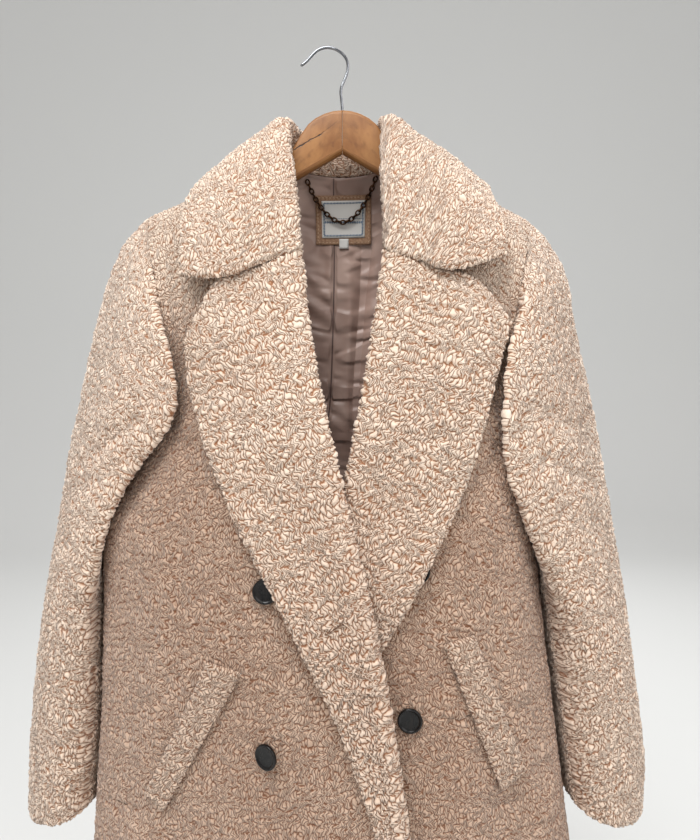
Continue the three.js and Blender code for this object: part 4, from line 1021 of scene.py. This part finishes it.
lapel_right = lapel_shape("lapel_right", "right", front_right, -1)
lapel_left = lapel_shape("lapel_left", "left", front_left, 1)
for name, shape, flat, area in (
    ("lapel_right", lapel_right, (0.16, 0.78), 0.0667), ("lapel_left", lapel_left, (0.15, 0.55), 0.0568),
):
    us = spread(shape, 0.3, 0, 1.72 * CELL, 0.02, 1, (False, True))
    vs = spread(shape, 0.7, 1, 1.72 * CELL, 0.0016, 1, (True, True))
    piece = wall(
        name + "_fur", shape, us, vs, [collar_fur, collar_fur], (0, -1, 0), (0.8, 0.5),
        soft=("u1", "v0", "v1"), pull=lambda u, v, n: sewn(n, [(u * 70, 8, np.array([0, 1.0, 0]))]),
        flat_at=lambda u, v: lerp(0.7, 1, ease(u * 70 / 6)), fur=FULL, level="flat",
        turn=0.45 if "right" in name else -0.45,
    )
    cloth(piece, "fur", [name], flat, area)

# Buttonhole: a short slit worked through the right lapel, its edge closed with thread, drawn dark brown for
# the thread and for painted shade in the slit's opening. It curves down toward the front edge, as the cloth
# does.
SLIT_START, SLIT_END = (-14, -608), (4.7, -598.4)


def strung(title, link):
    """A tree that sets one small shape again and again along a path, every other one turned by Quarter."""
    tree = bpy.data.node_groups.new(title, "GeometryNodeTree")
    for name, kind in (("Geometry", "Geometry"), ("Count", "Int"), ("Facing", "Vector"), ("Size", "Vector"),
                       ("Quarter", "Float"), ("Material", "Material")):
        tree.interface.new_socket(name, in_out="INPUT", socket_type="NodeSocket" + kind)
    tree.interface.new_socket("Geometry", in_out="OUTPUT", socket_type="NodeSocketGeometry")
    start, end = tree.nodes.new("NodeGroupInput"), tree.nodes.new("NodeGroupOutput")
    path, count, facing, size, quarter, material = start.outputs[:6]

    def step(kind, links, **settings):
        made = tree.nodes.new(kind)
        for key, value in settings.items():
            setattr(made, key, value)
        for key, value in links.items():
            if isinstance(value, bpy.types.NodeSocket):
                tree.links.new(value, made.inputs[key])
            else:
                made.inputs[key].default_value = value
        return made.outputs[0]
    curve = step("GeometryNodeResampleCurve", {"Curve": step("GeometryNodeMeshToCurve", {0: path}),
                                               "Count": count})
    if link:
        oval = step("GeometryNodeCurvePrimitiveCircle", {"Resolution": 14, "Radius": 1.0})
        oval = step("GeometryNodeTransform", {"Geometry": oval, "Scale": size})
        wire = step("GeometryNodeCurvePrimitiveCircle", {"Resolution": 6, "Radius": 0.0009})
        shape = step("GeometryNodeCurveToMesh", {"Curve": oval, "Profile Curve": wire})
    else:
        shape = step("GeometryNodeMeshUVSphere", {"Segments": 6, "Rings": 4, "Radius": 1.0})
        shape = step("GeometryNodeTransform", {"Geometry": shape, "Scale": size})
    along = step("GeometryNodeInputTangent", {})
    turned = step("FunctionNodeAxesToRotation", {0: along, 1: facing}, primary_axis="X", secondary_axis="Z")
    set_out = step("GeometryNodeInstanceOnPoints", {"Points": curve, "Instance": shape, "Rotation": turned})
    odd = calc(tree, "MODULO", step("GeometryNodeInputIndex", {}), 2.0)
    spin = step("ShaderNodeCombineXYZ", {0: times(tree, odd, quarter)})
    set_out = step("GeometryNodeRotateInstances", {"Instances": set_out, "Rotation": spin})
    whole = step("GeometryNodeSetShadeSmooth", {0: step("GeometryNodeRealizeInstances", {0: set_out})})
    tree.links.new(step("GeometryNodeSetMaterial", {"Geometry": whole, "Material": material}),
                   end.inputs[0])
    return tree


def string(tree, name, path, pitch, size, material, quarter=0.0):
    """The shape of a tree strung along a path, in millimetres."""
    path = np.asarray(path, float)
    run = np.concatenate([[0], np.cumsum(np.linalg.norm(np.diff(path, axis=0), axis=1))])
    count = int(run[-1] / pitch + 0.5)
    stops = np.linspace(run[-1] / count / 2, run[-1] - run[-1] / count / 2, max(2, len(path)))
    laid_out = (np.stack([np.interp(stops, run, path[:, k]) for k in range(3)], axis=-1) + AT) * MM
    mesh = bpy.data.meshes.new(name)
    mesh.from_pydata(laid_out.tolist(), [(i, i + 1) for i in range(len(stops) - 1)], [])
    piece = bpy.data.objects.new(name, mesh)
    bpy.context.scene.collection.objects.link(piece)
    modifier = piece.modifiers.new("string", "NODES")
    modifier.node_group = tree
    values = {"Count": count, "Facing": (0.0, -1.0, 0.0), "Size": [v * MM for v in size],
              "Quarter": quarter, "Material": material}
    for socket in tree.interface.items_tree:
        if socket.in_out == "INPUT" and socket.name in values:
            modifier[socket.identifier] = values[socket.name]
    settled(piece, modifier)
    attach(piece, "root")
    return piece


STITCHES = strung("stitches along a path", False)


def dashes(name, path, material, long, wide, high, gap):
    return string(STITCHES, name, path, long + gap, (long / 2, wide / 2, high), material)


# Dark brown for the thread, and painted shade for the slit's opening.
slit, tree, shader = look("buttonhole thread and shade", rgb(96, 66, 48), 0.9)
tinted(tree, shader, noise(tree, placed(tree), 900.0), rgb(70, 46, 33), rgb(128, 90, 66))
t = np.linspace(0, 1, 24)
x, z = lerp(SLIT_START[0], SLIT_END[0], t), lerp(SLIT_START[1], SLIT_END[1], ease(t))
slit_path = points(x, onto(lapel_right, x, z, 0.6, 0.6)[:, 1] - FUR / 2 - 0.6, z)
dashes("buttonhole_edge", slit_path, slit, 1.3, 1.5, 0.9, 0.05)

# Pocket welts: a folded strip of the body's fur on each front, slanted down and outward, sewn on over the
# pocket's mouth.
WELT = 5.0


def laid(shape, corners, off, start=(0.6, 0.5, 0)):
    """A surface between four corners in x and z, in front of another one."""
    a, b, c, d = np.array(corners, float)

    def inner(u, v):
        u, v = np.broadcast_arrays(np.atleast_1d(np.asarray(u, float)), np.asarray(v, float))
        spot = lerp(lerp(a, b, u[:, None]), lerp(d, c, u[:, None]), v[:, None])
        return points(spot[:, 0], onto(shape, spot[:, 0], spot[:, 1], *start)[:, 1] - off, spot[:, 1])
    return inner


# The welts take the body's colours with less painted shade low down than the fronts, so they stand lighter:
# painted light on the raised strips.
welt_fur = fur_look("welt fur", rgb(138, 98, 72), rgb(222, 199, 178), rgb(238, 219, 200), FINE, 0.2, 0.6)
for name, under, corners in (
    ("welt_right", "front_right", [(-128.4, -641.9), (-94.3, -650.8), (-175.4, -796.7), (-194.9, -780.7)]),
    ("welt_left", "front_left", [(102.1, -627.7), (132.5, -618.8), (187.5, -761.2), (162, -779.2)]),
):
    panel = front_right if under == "front_right" else front_left
    shape = laid(panel, corners, FUR / 2 + HOVER + WELT / 2)
    us = spread(shape, 0.5, 0, 1.6 * CELL, soft=(True, True))
    vs = spread(shape, 0.5, 1, 1.6 * CELL, soft=(True, True))
    piece = wall(name + "_fur", shape, us, vs, [welt_fur, welt_fur], (0, -1, 0), thick=WELT,
                 soft=("u0", "u1", "v0", "v1"), fur=FINE)
    cloth(piece, "fur", [name], (0.036, 0.16), 0.0052, "laid",
          [under])

# Back lining: thin mauve satin, cut wider than the back, with a seam down its centre and a pleat beside it.
# It is caught at the neck, the armholes and the sides, and its slack lies in creases.
LINING = 1.0
CLOSE, LOOSE = FUR / 2 + 1 + LINING / 2, FUR / 2 + 5.4
FOLDS["lining"] = [
    (9, -190, 5, -1000, 6, 1.6), (30, -205, 8, -490, 9, -8),
    (-58, -222, -13, -268, 4.5, 2.6), (-60, -240, -10, -282, 4.5, -2.2), (-55, -256, -8, -296, 4.5, 2.4),
    (-52, -276, -6, -310, 5, -2.4), (-50, -292, -4, -322, 4, 2.2), (-48, -322, -14, -369, 6, 2.8),
    (-52, -345, -12, -400, 6, -2.6), (12, -268, 5, -470, 4, 1.4), (-44, -400, -10, -470, 8, 2.6),
    (-30, -480, -40, -900, 22, 3), (40, -520, 60, -1000, 24, 3), (-12, -205, -16, -262, 4, 1.5),
]


def lining_from(w):
    return lerp(0.0035, 0.085, ease((np.abs(w) - 0.3) / 0.14))


def lining_shape(w, k):
    return back_panel(w, lerp(lining_from(w), 13.8 / ROWS, k))


def lining_lift(p, w, k):
    row = lerp(lining_from(w), 13.8 / ROWS, k) * ROWS
    loose = np.maximum(ease((row - 2.2) / 2), ease((np.abs(w) - 0.22) / 0.1))
    return lerp(CLOSE, LOOSE, loose) + pressed("lining", p) * ease((row - 0.6) / 1.2)


ws = spread(lining_shape, 0.5, 0, 4.4 * CELL, -0.965, 0.965)
vs = spread(lining_shape, 0.5, 1, 4.4 * CELL)
lining_satin = satin_look("lining satin", rgb(190, 163, 150), rgb(160, 132, 120), True)
piece = wall(
    "back_lining", lining_shape, ws, vs, [lining_satin, satin], (0, -1, 0), (0.5, 0.5), LINING,
    lift=lining_lift, coarse=1,
    pull=lambda w, k, n: sewn(n, [(k * 1000, 20, -neck_out(7 + np.clip(w / (1 - NECK), -1, 1) * 3))]),
)
cloth(piece, "satin", ["lining_back"], (0.56, 1.0), 0.424)

# Patch, label and tab: a suede patch topstitched to the lining below the neck, a white woven label on it
# with a slate border and two bands, and a small folded tab below. No words or marks are on them.
ON_LINING, NECK_INSIDE = CLOSE + LINING / 2, (0.02, 0.12, -1)
suede, tree, shader = look("tan suede", rgb(160, 126, 100), 0.9)
nap = noise(tree, along_cloth(tree), 420.0, 3.0)
tinted(tree, shader, ranged(tree, nap, 0.3, 0.7), rgb(142, 108, 84), rgb(176, 142, 114))
bumped(tree, shader, nap, 0.0003)
woven, tree, shader = look("white woven tape", rgb(232, 231, 226), 0.75)
lay = along_cloth(tree)
ribs = node(tree, "ShaderNodeTexWave", lay, 620.0, 0.4, bands_direction="Y")
tinted(tree, shader, ribs, rgb(222, 221, 216), rgb(240, 239, 235))
bumped(tree, shader, ribs, 0.0001)
slate, tree, shader = look("slate blue yarn", rgb(96, 118, 142), 0.7)
yarn = noise(tree, placed(tree), 1400.0, 2.0)
tinted(tree, shader, yarn, rgb(80, 100, 124), rgb(116, 138, 160))
PATCH = [(-30, -151.5), (34.5, -150.5), (34.5, -205.5), (-29.5, -206)]
LABEL = [(-23, -157.5), (28, -156.5), (27, -197.5), (-22.5, -198.5)]
TAB = [(-2.5, -199.2), (8.3, -199.2), (8.3, -210.5), (-2.5, -210.5)]
for name, cad, corners, thick, clear, material, slot, flat, onto_piece in (
    ("suede_patch", "label_patch", PATCH, 0.9, 0.9, suede,
     "suede", (0.0645, 0.056), "back_lining"),
    ("woven_tape", "woven_label", LABEL, 0.5, 2.2, woven,
     "woven", (0.051, 0.0415), "suede_patch"),
    ("size_tape", "size_tab", TAB, 0.5, 2.3, woven,
     "woven", (0.0108, 0.0113), "suede_patch"),
):
    shape = laid(back_panel, corners, ON_LINING + clear + thick / 2, NECK_INSIDE)
    us = spread(shape, 0.5, 0, 2.0)
    vs = spread(shape, 0.5, 1, 2.0)
    piece = wall(name, shape, us, vs, [material, material], (0, -1, 0), (0.5, 0.5), thick, coarse=1)
    cloth(piece, slot, [cad], flat, None, "laid", [onto_piece])
thread, tree, shader = look("tan thread", rgb(205, 178, 148), 0.7)
tinted(tree, shader, noise(tree, placed(tree), 1800.0), rgb(180, 150, 118), rgb(222, 198, 170))


def inset_ring(corners, inset, off):
    a, b, c, d = np.array(corners, float)
    middle = (a + b + c + d) / 4
    ring = [p + np.sign(middle - p) * inset for p in (a, b, c, d, a)]
    flat = np.concatenate([np.linspace(p, q, 30)[:-1] for p, q in zip(ring, ring[1:])] + [[ring[-1]]])
    y = onto(back_panel, flat[:, 0], flat[:, 1], *NECK_INSIDE)[:, 1] - off
    return points(flat[:, 0], y, flat[:, 1])


dashes("patch_stitches", inset_ring(PATCH, 2.6, ON_LINING + 1.8), thread, 2.6, 0.8, 0.45, 1.5)
dashes("label_border", inset_ring(LABEL, 2.6, ON_LINING + 2.7), slate, 1.6, 2.6, 0.4, 0.1)
for name, band_z, band in (("label_band", -180.5, 3.6), ("label_line", -176.6, 0.8)):
    x = np.linspace(-19.5, 24.0, 30)
    y = onto(back_panel, x, np.full(30, band_z), *NECK_INSIDE)[:, 1] - ON_LINING - 2.7
    dashes(name, points(x, y, band_z), slate, 2.0, band, 0.3, 0.1)

# Chain loop: dark bronze wire links, each turned a quarter from the last, hung in a slack curve from both
# ends of the neck seam over the label. The coat could be hung by it.
LOOP_LEFT, LOOP_RIGHT, SAG, SLACK, LINKS = (-39, -137), (39.5, -134), (1.3, -181.5), 1.7, 25
t = np.linspace(-1, 1, 400)
k = np.abs(t)
x = SAG[0] + (np.where(t < 0, LOOP_LEFT[0], LOOP_RIGHT[0]) - SAG[0]) * (k ** 0.86 * 0.55 + k * 0.45)
drop = (np.cosh(SLACK * k) - 1) / (math.cosh(SLACK) - 1) * 0.55 + 0.45 * k ** 1.5
z = SAG[1] + (np.where(t < 0, LOOP_LEFT[1], LOOP_RIGHT[1]) - SAG[1]) * drop
y = onto(back_panel, x, z, *NECK_INSIDE)[:, 1] - ON_LINING - lerp(6, 3.7, ease((k - 0.45) / 0.5))
path = points(x, y, z)
bronze, tree, shader = look("dark bronze", rgb(92, 72, 54), 0.38, Metallic=0.9)
tarnish = noise(tree, placed(tree), 500.0, 3.0)
tinted(tree, shader, ranged(tree, tarnish, 0.35, 0.7), rgb(30, 23, 18), rgb(112, 78, 52))
tree.links.new(ranged(tree, tarnish, 0.3, 0.7, 0.3, 0.5), shader.inputs["Roughness"])
pitch = np.linalg.norm(np.diff(path, axis=0), axis=1).sum() / LINKS
chain = string(strung("links along a path", True), "chain_links", path, pitch, (pitch / 2 + 0.7, 2.2, 1),
               bronze, math.pi / 2)
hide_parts("chain_loop")

# Buttons: black horn discs with a raised rim round a shallow dish, held a little off the cloth by their
# shanks of thread. Four show: two at the viewer's left, two at the right.


def hard(name, verts, faces, material, cad, uvs=None):
    """A closed hard piece that stands for one CAD node, its faces turned outward."""
    uvs = uvs or [[(0.0, 0.0)] * len(face) for face in faces]
    piece = make_mesh(name, verts, faces, uvs, [0] * len(faces), [material])
    mesh = bmesh.new()
    mesh.from_mesh(piece.data)
    bmesh.ops.recalc_face_normals(mesh, faces=mesh.faces)
    mesh.to_mesh(piece.data)
    mesh.free()
    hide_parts(cad)
    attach(piece, "root")


horn, tree, shader = look("black horn", rgb(16, 15, 15), 0.3, Specular_IOR_Level=0.35)
streak = noise(tree, node(tree, "ShaderNodeMapping", placed(tree), None, None,
                          (1.0, 1.0, 0.25)), 240.0, 3.0)
tinted(tree, shader, ranged(tree, streak, 0.45, 0.75), rgb(10, 9, 9), rgb(30, 26, 24))
tree.links.new(ranged(tree, streak, 0.3, 0.8, 0.22, 0.38), shader.inputs["Roughness"])
# The profile from the middle of the back over the rim to the middle of the front: radius and height
BUTTON_RADIUS = 12.5
BUTTON_PROFILE = [
    (0.0, 0.0), (10.2, 0.0), (11.6, 0.35), (12.3, 1.1), (12.5, 2.0), (12.5, 3.2), (12.25, 3.9),
    (11.75, 4.32), (11.2, 4.4), (10.6, 4.28), (10.0, 3.8), (9.4, 3.25), (8.6, 3.1), (4.0, 3.0), (0.0, 3.0),
]
for name, panel, x, z, lean, clear in (
    ("button_right_top", front_right, -71.2, -571.3, 0, 0.55),
    ("button_right_low", front_right, -69.8, -731.2, 32, -0.6),
    ("button_left_top", front_left, 76.2, -556.1, 0, 0.55),
    ("button_left_low", front_left, 69.8, -706.2, 6, 0.55),
):
    a, turn = math.radians(lean), np.arange(8) * math.pi / 4
    dx, dz = BUTTON_RADIUS * np.cos(turn), BUTTON_RADIUS * np.sin(turn)
    least = min(float(onto(panel, x, z)[0, 1]),
                float((onto(panel, x + dx * math.cos(a), z + dz)[:, 1] + dx * math.sin(a)).min()))
    middle = np.array([x, least - FUR / 2 - clear, z])
    n = np.array([-math.sin(a), -math.cos(a), 0])
    e = unit(np.cross((0, 0, 1), n))
    f = np.cross(n, e)
    verts, faces, count = [middle], [], 48
    for r, h in BUTTON_PROFILE[1:-1]:
        for q in range(count):
            w = 2 * math.pi * q / count
            verts.append(middle + n * h + e * r * math.cos(w) + f * r * math.sin(w))
    verts.append(middle + n * BUTTON_PROFILE[-1][1])
    for q in range(count):
        r = (q + 1) % count
        faces += [[0, 1 + r, 1 + q], [len(verts) - 1, len(verts) - 1 - count + q,
                                      len(verts) - 1 - count + r]]
        for i in range(len(BUTTON_PROFILE) - 3):
            low = 1 + i * count
            faces.append([low + q, low + r, low + count + r, low + count + q])
    hard(name + "_horn", verts, faces, horn, name)

# Hanger: two halves of varnished wood, glued in a mitre under the hook, each swept from the neck down into
# the shoulder. A row is x out from the mitre, then the wood's top and bottom.
WOOD, STEM = 13.0, 1.6
HANGER = np.array([
    (0.15, -71, -118), (10, -72, -123.6), (19.5, -74.8, -129), (29, -79.5, -134.5), (37, -86, -139),
    (44, -95.5, -143), (50, -105.5, -146.5), (57, -115.5, -150), (70, -128, -156), (105, -147, -172),
    (140, -167.5, -190), (168, -184, -202), (188, -194, -208), (198, -201, -206.5),
])
wood, tree, shader = look("varnished wood", rgb(160, 110, 62), 0.42, Specular_IOR_Level=0.4)
lay = along_cloth(tree)
fibre = noise(tree, node(tree, "ShaderNodeMapping", lay, None, None, (1.0, 14.0, 1.0)), 28.0, 5.0, 0.62)
fine = noise(tree, node(tree, "ShaderNodeMapping", lay, None, None, (1.0, 30.0, 1.0)), 110.0, 3.0)
colour = shade(tree, ranged(tree, fibre, 0.3, 0.7), rgb(126, 80, 42), rgb(164, 116, 68))
colour = shade(tree, times(tree, ranged(tree, fine, 0.5, 0.75), 0.4), colour, rgb(98, 60, 32))
where = placed(tree)
blots = ranged(tree, noise(tree, where, 52.0, 3.0, 0.6), 0.56, 0.74)
colour = shade(tree, times(tree, blots, 0.6), colour, rgb(84, 52, 32))


def streak_along(tree, where, start, end, wide, wobble):
    """A mask along a line from start to end in x and z, fading towards its ends."""
    long = math.hypot(end[0] - start[0], end[1] - start[1])
    ux, uz = (end[0] - start[0]) / long, (end[1] - start[1]) / long
    along = node(tree, "ShaderNodeVectorMath", where, (ux, 0, uz), operation="DOT_PRODUCT", out="Value")
    off = node(tree, "ShaderNodeVectorMath", where, (-uz, 0, ux), operation="DOT_PRODUCT", out="Value")
    along = minus(tree, along, start[0] * ux + start[1] * uz)
    off = minus(tree, off, start[1] * ux - start[0] * uz)
    shaken = times(tree, minus(tree, noise(tree, where, 190.0, 3.0), 0.5), wobble)
    near = ranged(tree, calc(tree, "ABSOLUTE", plus(tree, off, shaken)), wide * 0.35, wide, 1.0, 0.0)
    inside = times(tree, ranged(tree, along, -0.002, 0.006),
                   ranged(tree, along, long - 0.012, long, 1.0, 0.0))
    return times(tree, near, inside)


crack = streak_along(tree, where, (-0.0399, -0.1128), (0.0, -0.0902), 0.0008, 0.004)
faint = streak_along(tree, where, (-0.004, -0.0915), (0.0143, -0.0776), 0.0006, 0.003)
colour = shade(tree, times(tree, faint, 0.5), colour, rgb(60, 36, 22))
colour = shade(tree, crack, colour, rgb(34, 20, 12))
tree.links.new(colour, shader.inputs["Base Color"])
bumped(tree, shader, minus(tree, fine, times(tree, crack, 4.0)), 0.0002, 0.6)
for name, side in (("hanger_right", -1), ("hanger_left", 1)):
    stations = np.linspace(0, len(HANGER) - 1, 90)
    rows = np.array([[np.interp(s, range(len(HANGER)), HANGER[:, c]) for c in range(3)] for s in stations])
    rings, count = [], 40
    for i, (x, top, bottom) in enumerate(rows):
        wide = WOOD / 2 * (1 if i < len(rows) - 7 else lerp(0.45, 1, math.sqrt((len(rows) - 1 - i) / 6)))
        high = (top - bottom) / 2
        corner = min(wide * 0.93, high * 0.98)
        a = 2 * np.pi * (np.arange(count) + 0.5) / count
        y = np.sign(np.cos(a)) * (wide - corner) + np.cos(a) * corner
        z = np.sign(np.sin(a)) * (high - corner) + np.sin(a) * corner
        rings.append(points(STEM + side * x, y, (top + bottom) / 2 + z))
    verts = np.concatenate(rings)
    faces, uvs = [], []
    for i in range(len(rings) - 1):
        for q in range(count):
            r = (q + 1) % count
            faces.append([i * count + q, i * count + r, (i + 1) * count + r, (i + 1) * count + q])
            uvs.append([(rows[i][0] * MM, q * 0.0015), (rows[i][0] * MM, (q + 1) * 0.0015),
                        (rows[i + 1][0] * MM, (q + 1) * 0.0015), (rows[i + 1][0] * MM, q * 0.0015)])
    for i, order in ((0, 1), (len(rings) - 1, -1)):
        ring = list(range(i * count, (i + 1) * count))[::order]
        faces.append(ring)
        uvs.append([(0.3 + verts[k][1] * MM, verts[k][2] * MM) for k in ring])
    hard(name + "_wood", verts, faces, wood, name, uvs)

# Hook: one bent steel wire, bright, screwed into the mitre and left with a blunt, rounded tip. The table
# is its centre line, x and z.
WIRE = 3.2
HOOK = [
    (STEM, -72), (STEM, -70.3), (1.2, -64), (0.4, -56), (-0.1, -51), (0.8, -45.2), (3.4, -38.8),
    (5.8, -33), (7.4, -27),
    (7.7, -21.3), (5.9, -15), (2.4, -10.2), (-2.3, -6.5), (-7.7, -3.9), (-14.2, -2.7), (-20.1, -3.6),
    (-25.5, -5.9), (-29.6, -9.4), (-33.1, -13.1), (-36.8, -17.2), (-40.3, -20.1), (-43.9, -22.5),
]
chrome, tree, shader = look("bright wire", rgb(120, 122, 126), 0.2, Metallic=1.0)
worn = noise(tree, placed(tree), 220.0, 3.0)
tree.links.new(ranged(tree, worn, 0.3, 0.75, 0.12, 0.3), shader.inputs["Roughness"])
tinted(tree, shader, worn, rgb(104, 106, 110), rgb(150, 152, 156))
line = through(points([p[0] for p in HOOK], 0.0, [p[1] for p in HOOK]), np.linspace(0, len(HOOK) - 1, 130))
tangent = unit(np.gradient(line, axis=0))
verts, faces, count = [], [], 16
for i, (at, along) in enumerate(zip(line, tangent)):
    e = unit(np.cross((0, 1, 0), along))
    f = np.cross(along, e)
    r = WIRE / 2 * (1 if i < len(line) - 3 else (0.9, 0.7, 0.4)[i - len(line) + 3])
    for q in range(count):
        w = 2 * math.pi * q / count
        verts.append(at + e * r * math.cos(w) + f * r * math.sin(w))
    if i:
        for q in range(count):
            r2 = (q + 1) % count
            faces.append([(i - 1) * count + q, (i - 1) * count + r2, i * count + r2, i * count + q])
faces += [list(range(count))[::-1], list(range((len(line) - 1) * count, len(line) * count))]
hard("hook_wire", verts, faces, chrome, "hook")

# Floor, light and camera: a pale cove, three soft lamps over a pale world, and the camera level with the
# chest, where the photograph's stood.
floor_mesh = bpy.data.meshes.new("floor")
cove = [(-40.0, -1.3), (3.0, -1.3)]
cove += [(3 + 1.5 * math.sin(a), 0.2 - 1.5 * math.cos(a)) for a in np.linspace(0.1, math.pi / 2,
                                                                               16)] + [(4.5, 12.0)]
floor_mesh.from_pydata([(x, y, z) for y, z in cove for x in (-40, 40)], [],
                       [[2 * i, 2 * i + 1, 2 * i + 3, 2 * i + 2] for i in range(len(cove) - 1)])
floor_mesh.polygons.foreach_set("use_smooth", [True] * len(floor_mesh.polygons))
floor = bpy.data.objects.new("floor", floor_mesh)
bpy.context.scene.collection.objects.link(floor)
pale, tree, shader = look("pale floor", rgb(226, 227, 226), 0.9)
floor_mesh.materials.append(pale)
floor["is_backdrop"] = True
world = bpy.data.worlds.new("studio")
world.use_nodes = True
world.node_tree.nodes["Background"].inputs["Color"].default_value = (0.96, 0.94, 0.925, 1)
world.node_tree.nodes["Background"].inputs["Strength"].default_value = 0.64
bpy.context.scene.world = world
for name, at, aim, size, power in (
    ("key", (-0.5, -1.35, 1.75), (0, 0, -0.3), 1.3, 64), ("fill", (1.5, -1.6, 0.7), (0, 0, -0.5), 1.6, 20),
    ("behind", (0.6, 2.4, 1.2), (0, 0, -0.4), 2.0, 30),
):
    lamp = bpy.data.objects.new(name, bpy.data.lights.new(name, "AREA"))
    lamp.data.size, lamp.data.energy = size, power
    lamp.location = at
    lamp.rotation_euler = (Vector(aim) - Vector(at)).to_track_quat("-Z", "Y").to_euler()
    bpy.context.scene.collection.objects.link(lamp)
camera = bpy.data.objects.new("camera", bpy.data.cameras.new("camera"))
camera.data.lens, camera.data.sensor_width = 27.04, 36
camera.location = (0.0242, -0.7, -0.3857)
camera.rotation_euler = (math.radians(90 - 1.6), 0, 0)
bpy.context.scene.collection.objects.link(camera)
bpy.context.scene.camera = camera
bpy.context.scene.view_settings.view_transform = "Standard"

low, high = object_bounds()
{"cad": [list(cad_low), list(cad_high)], "visual": [list(low), list(high)]}
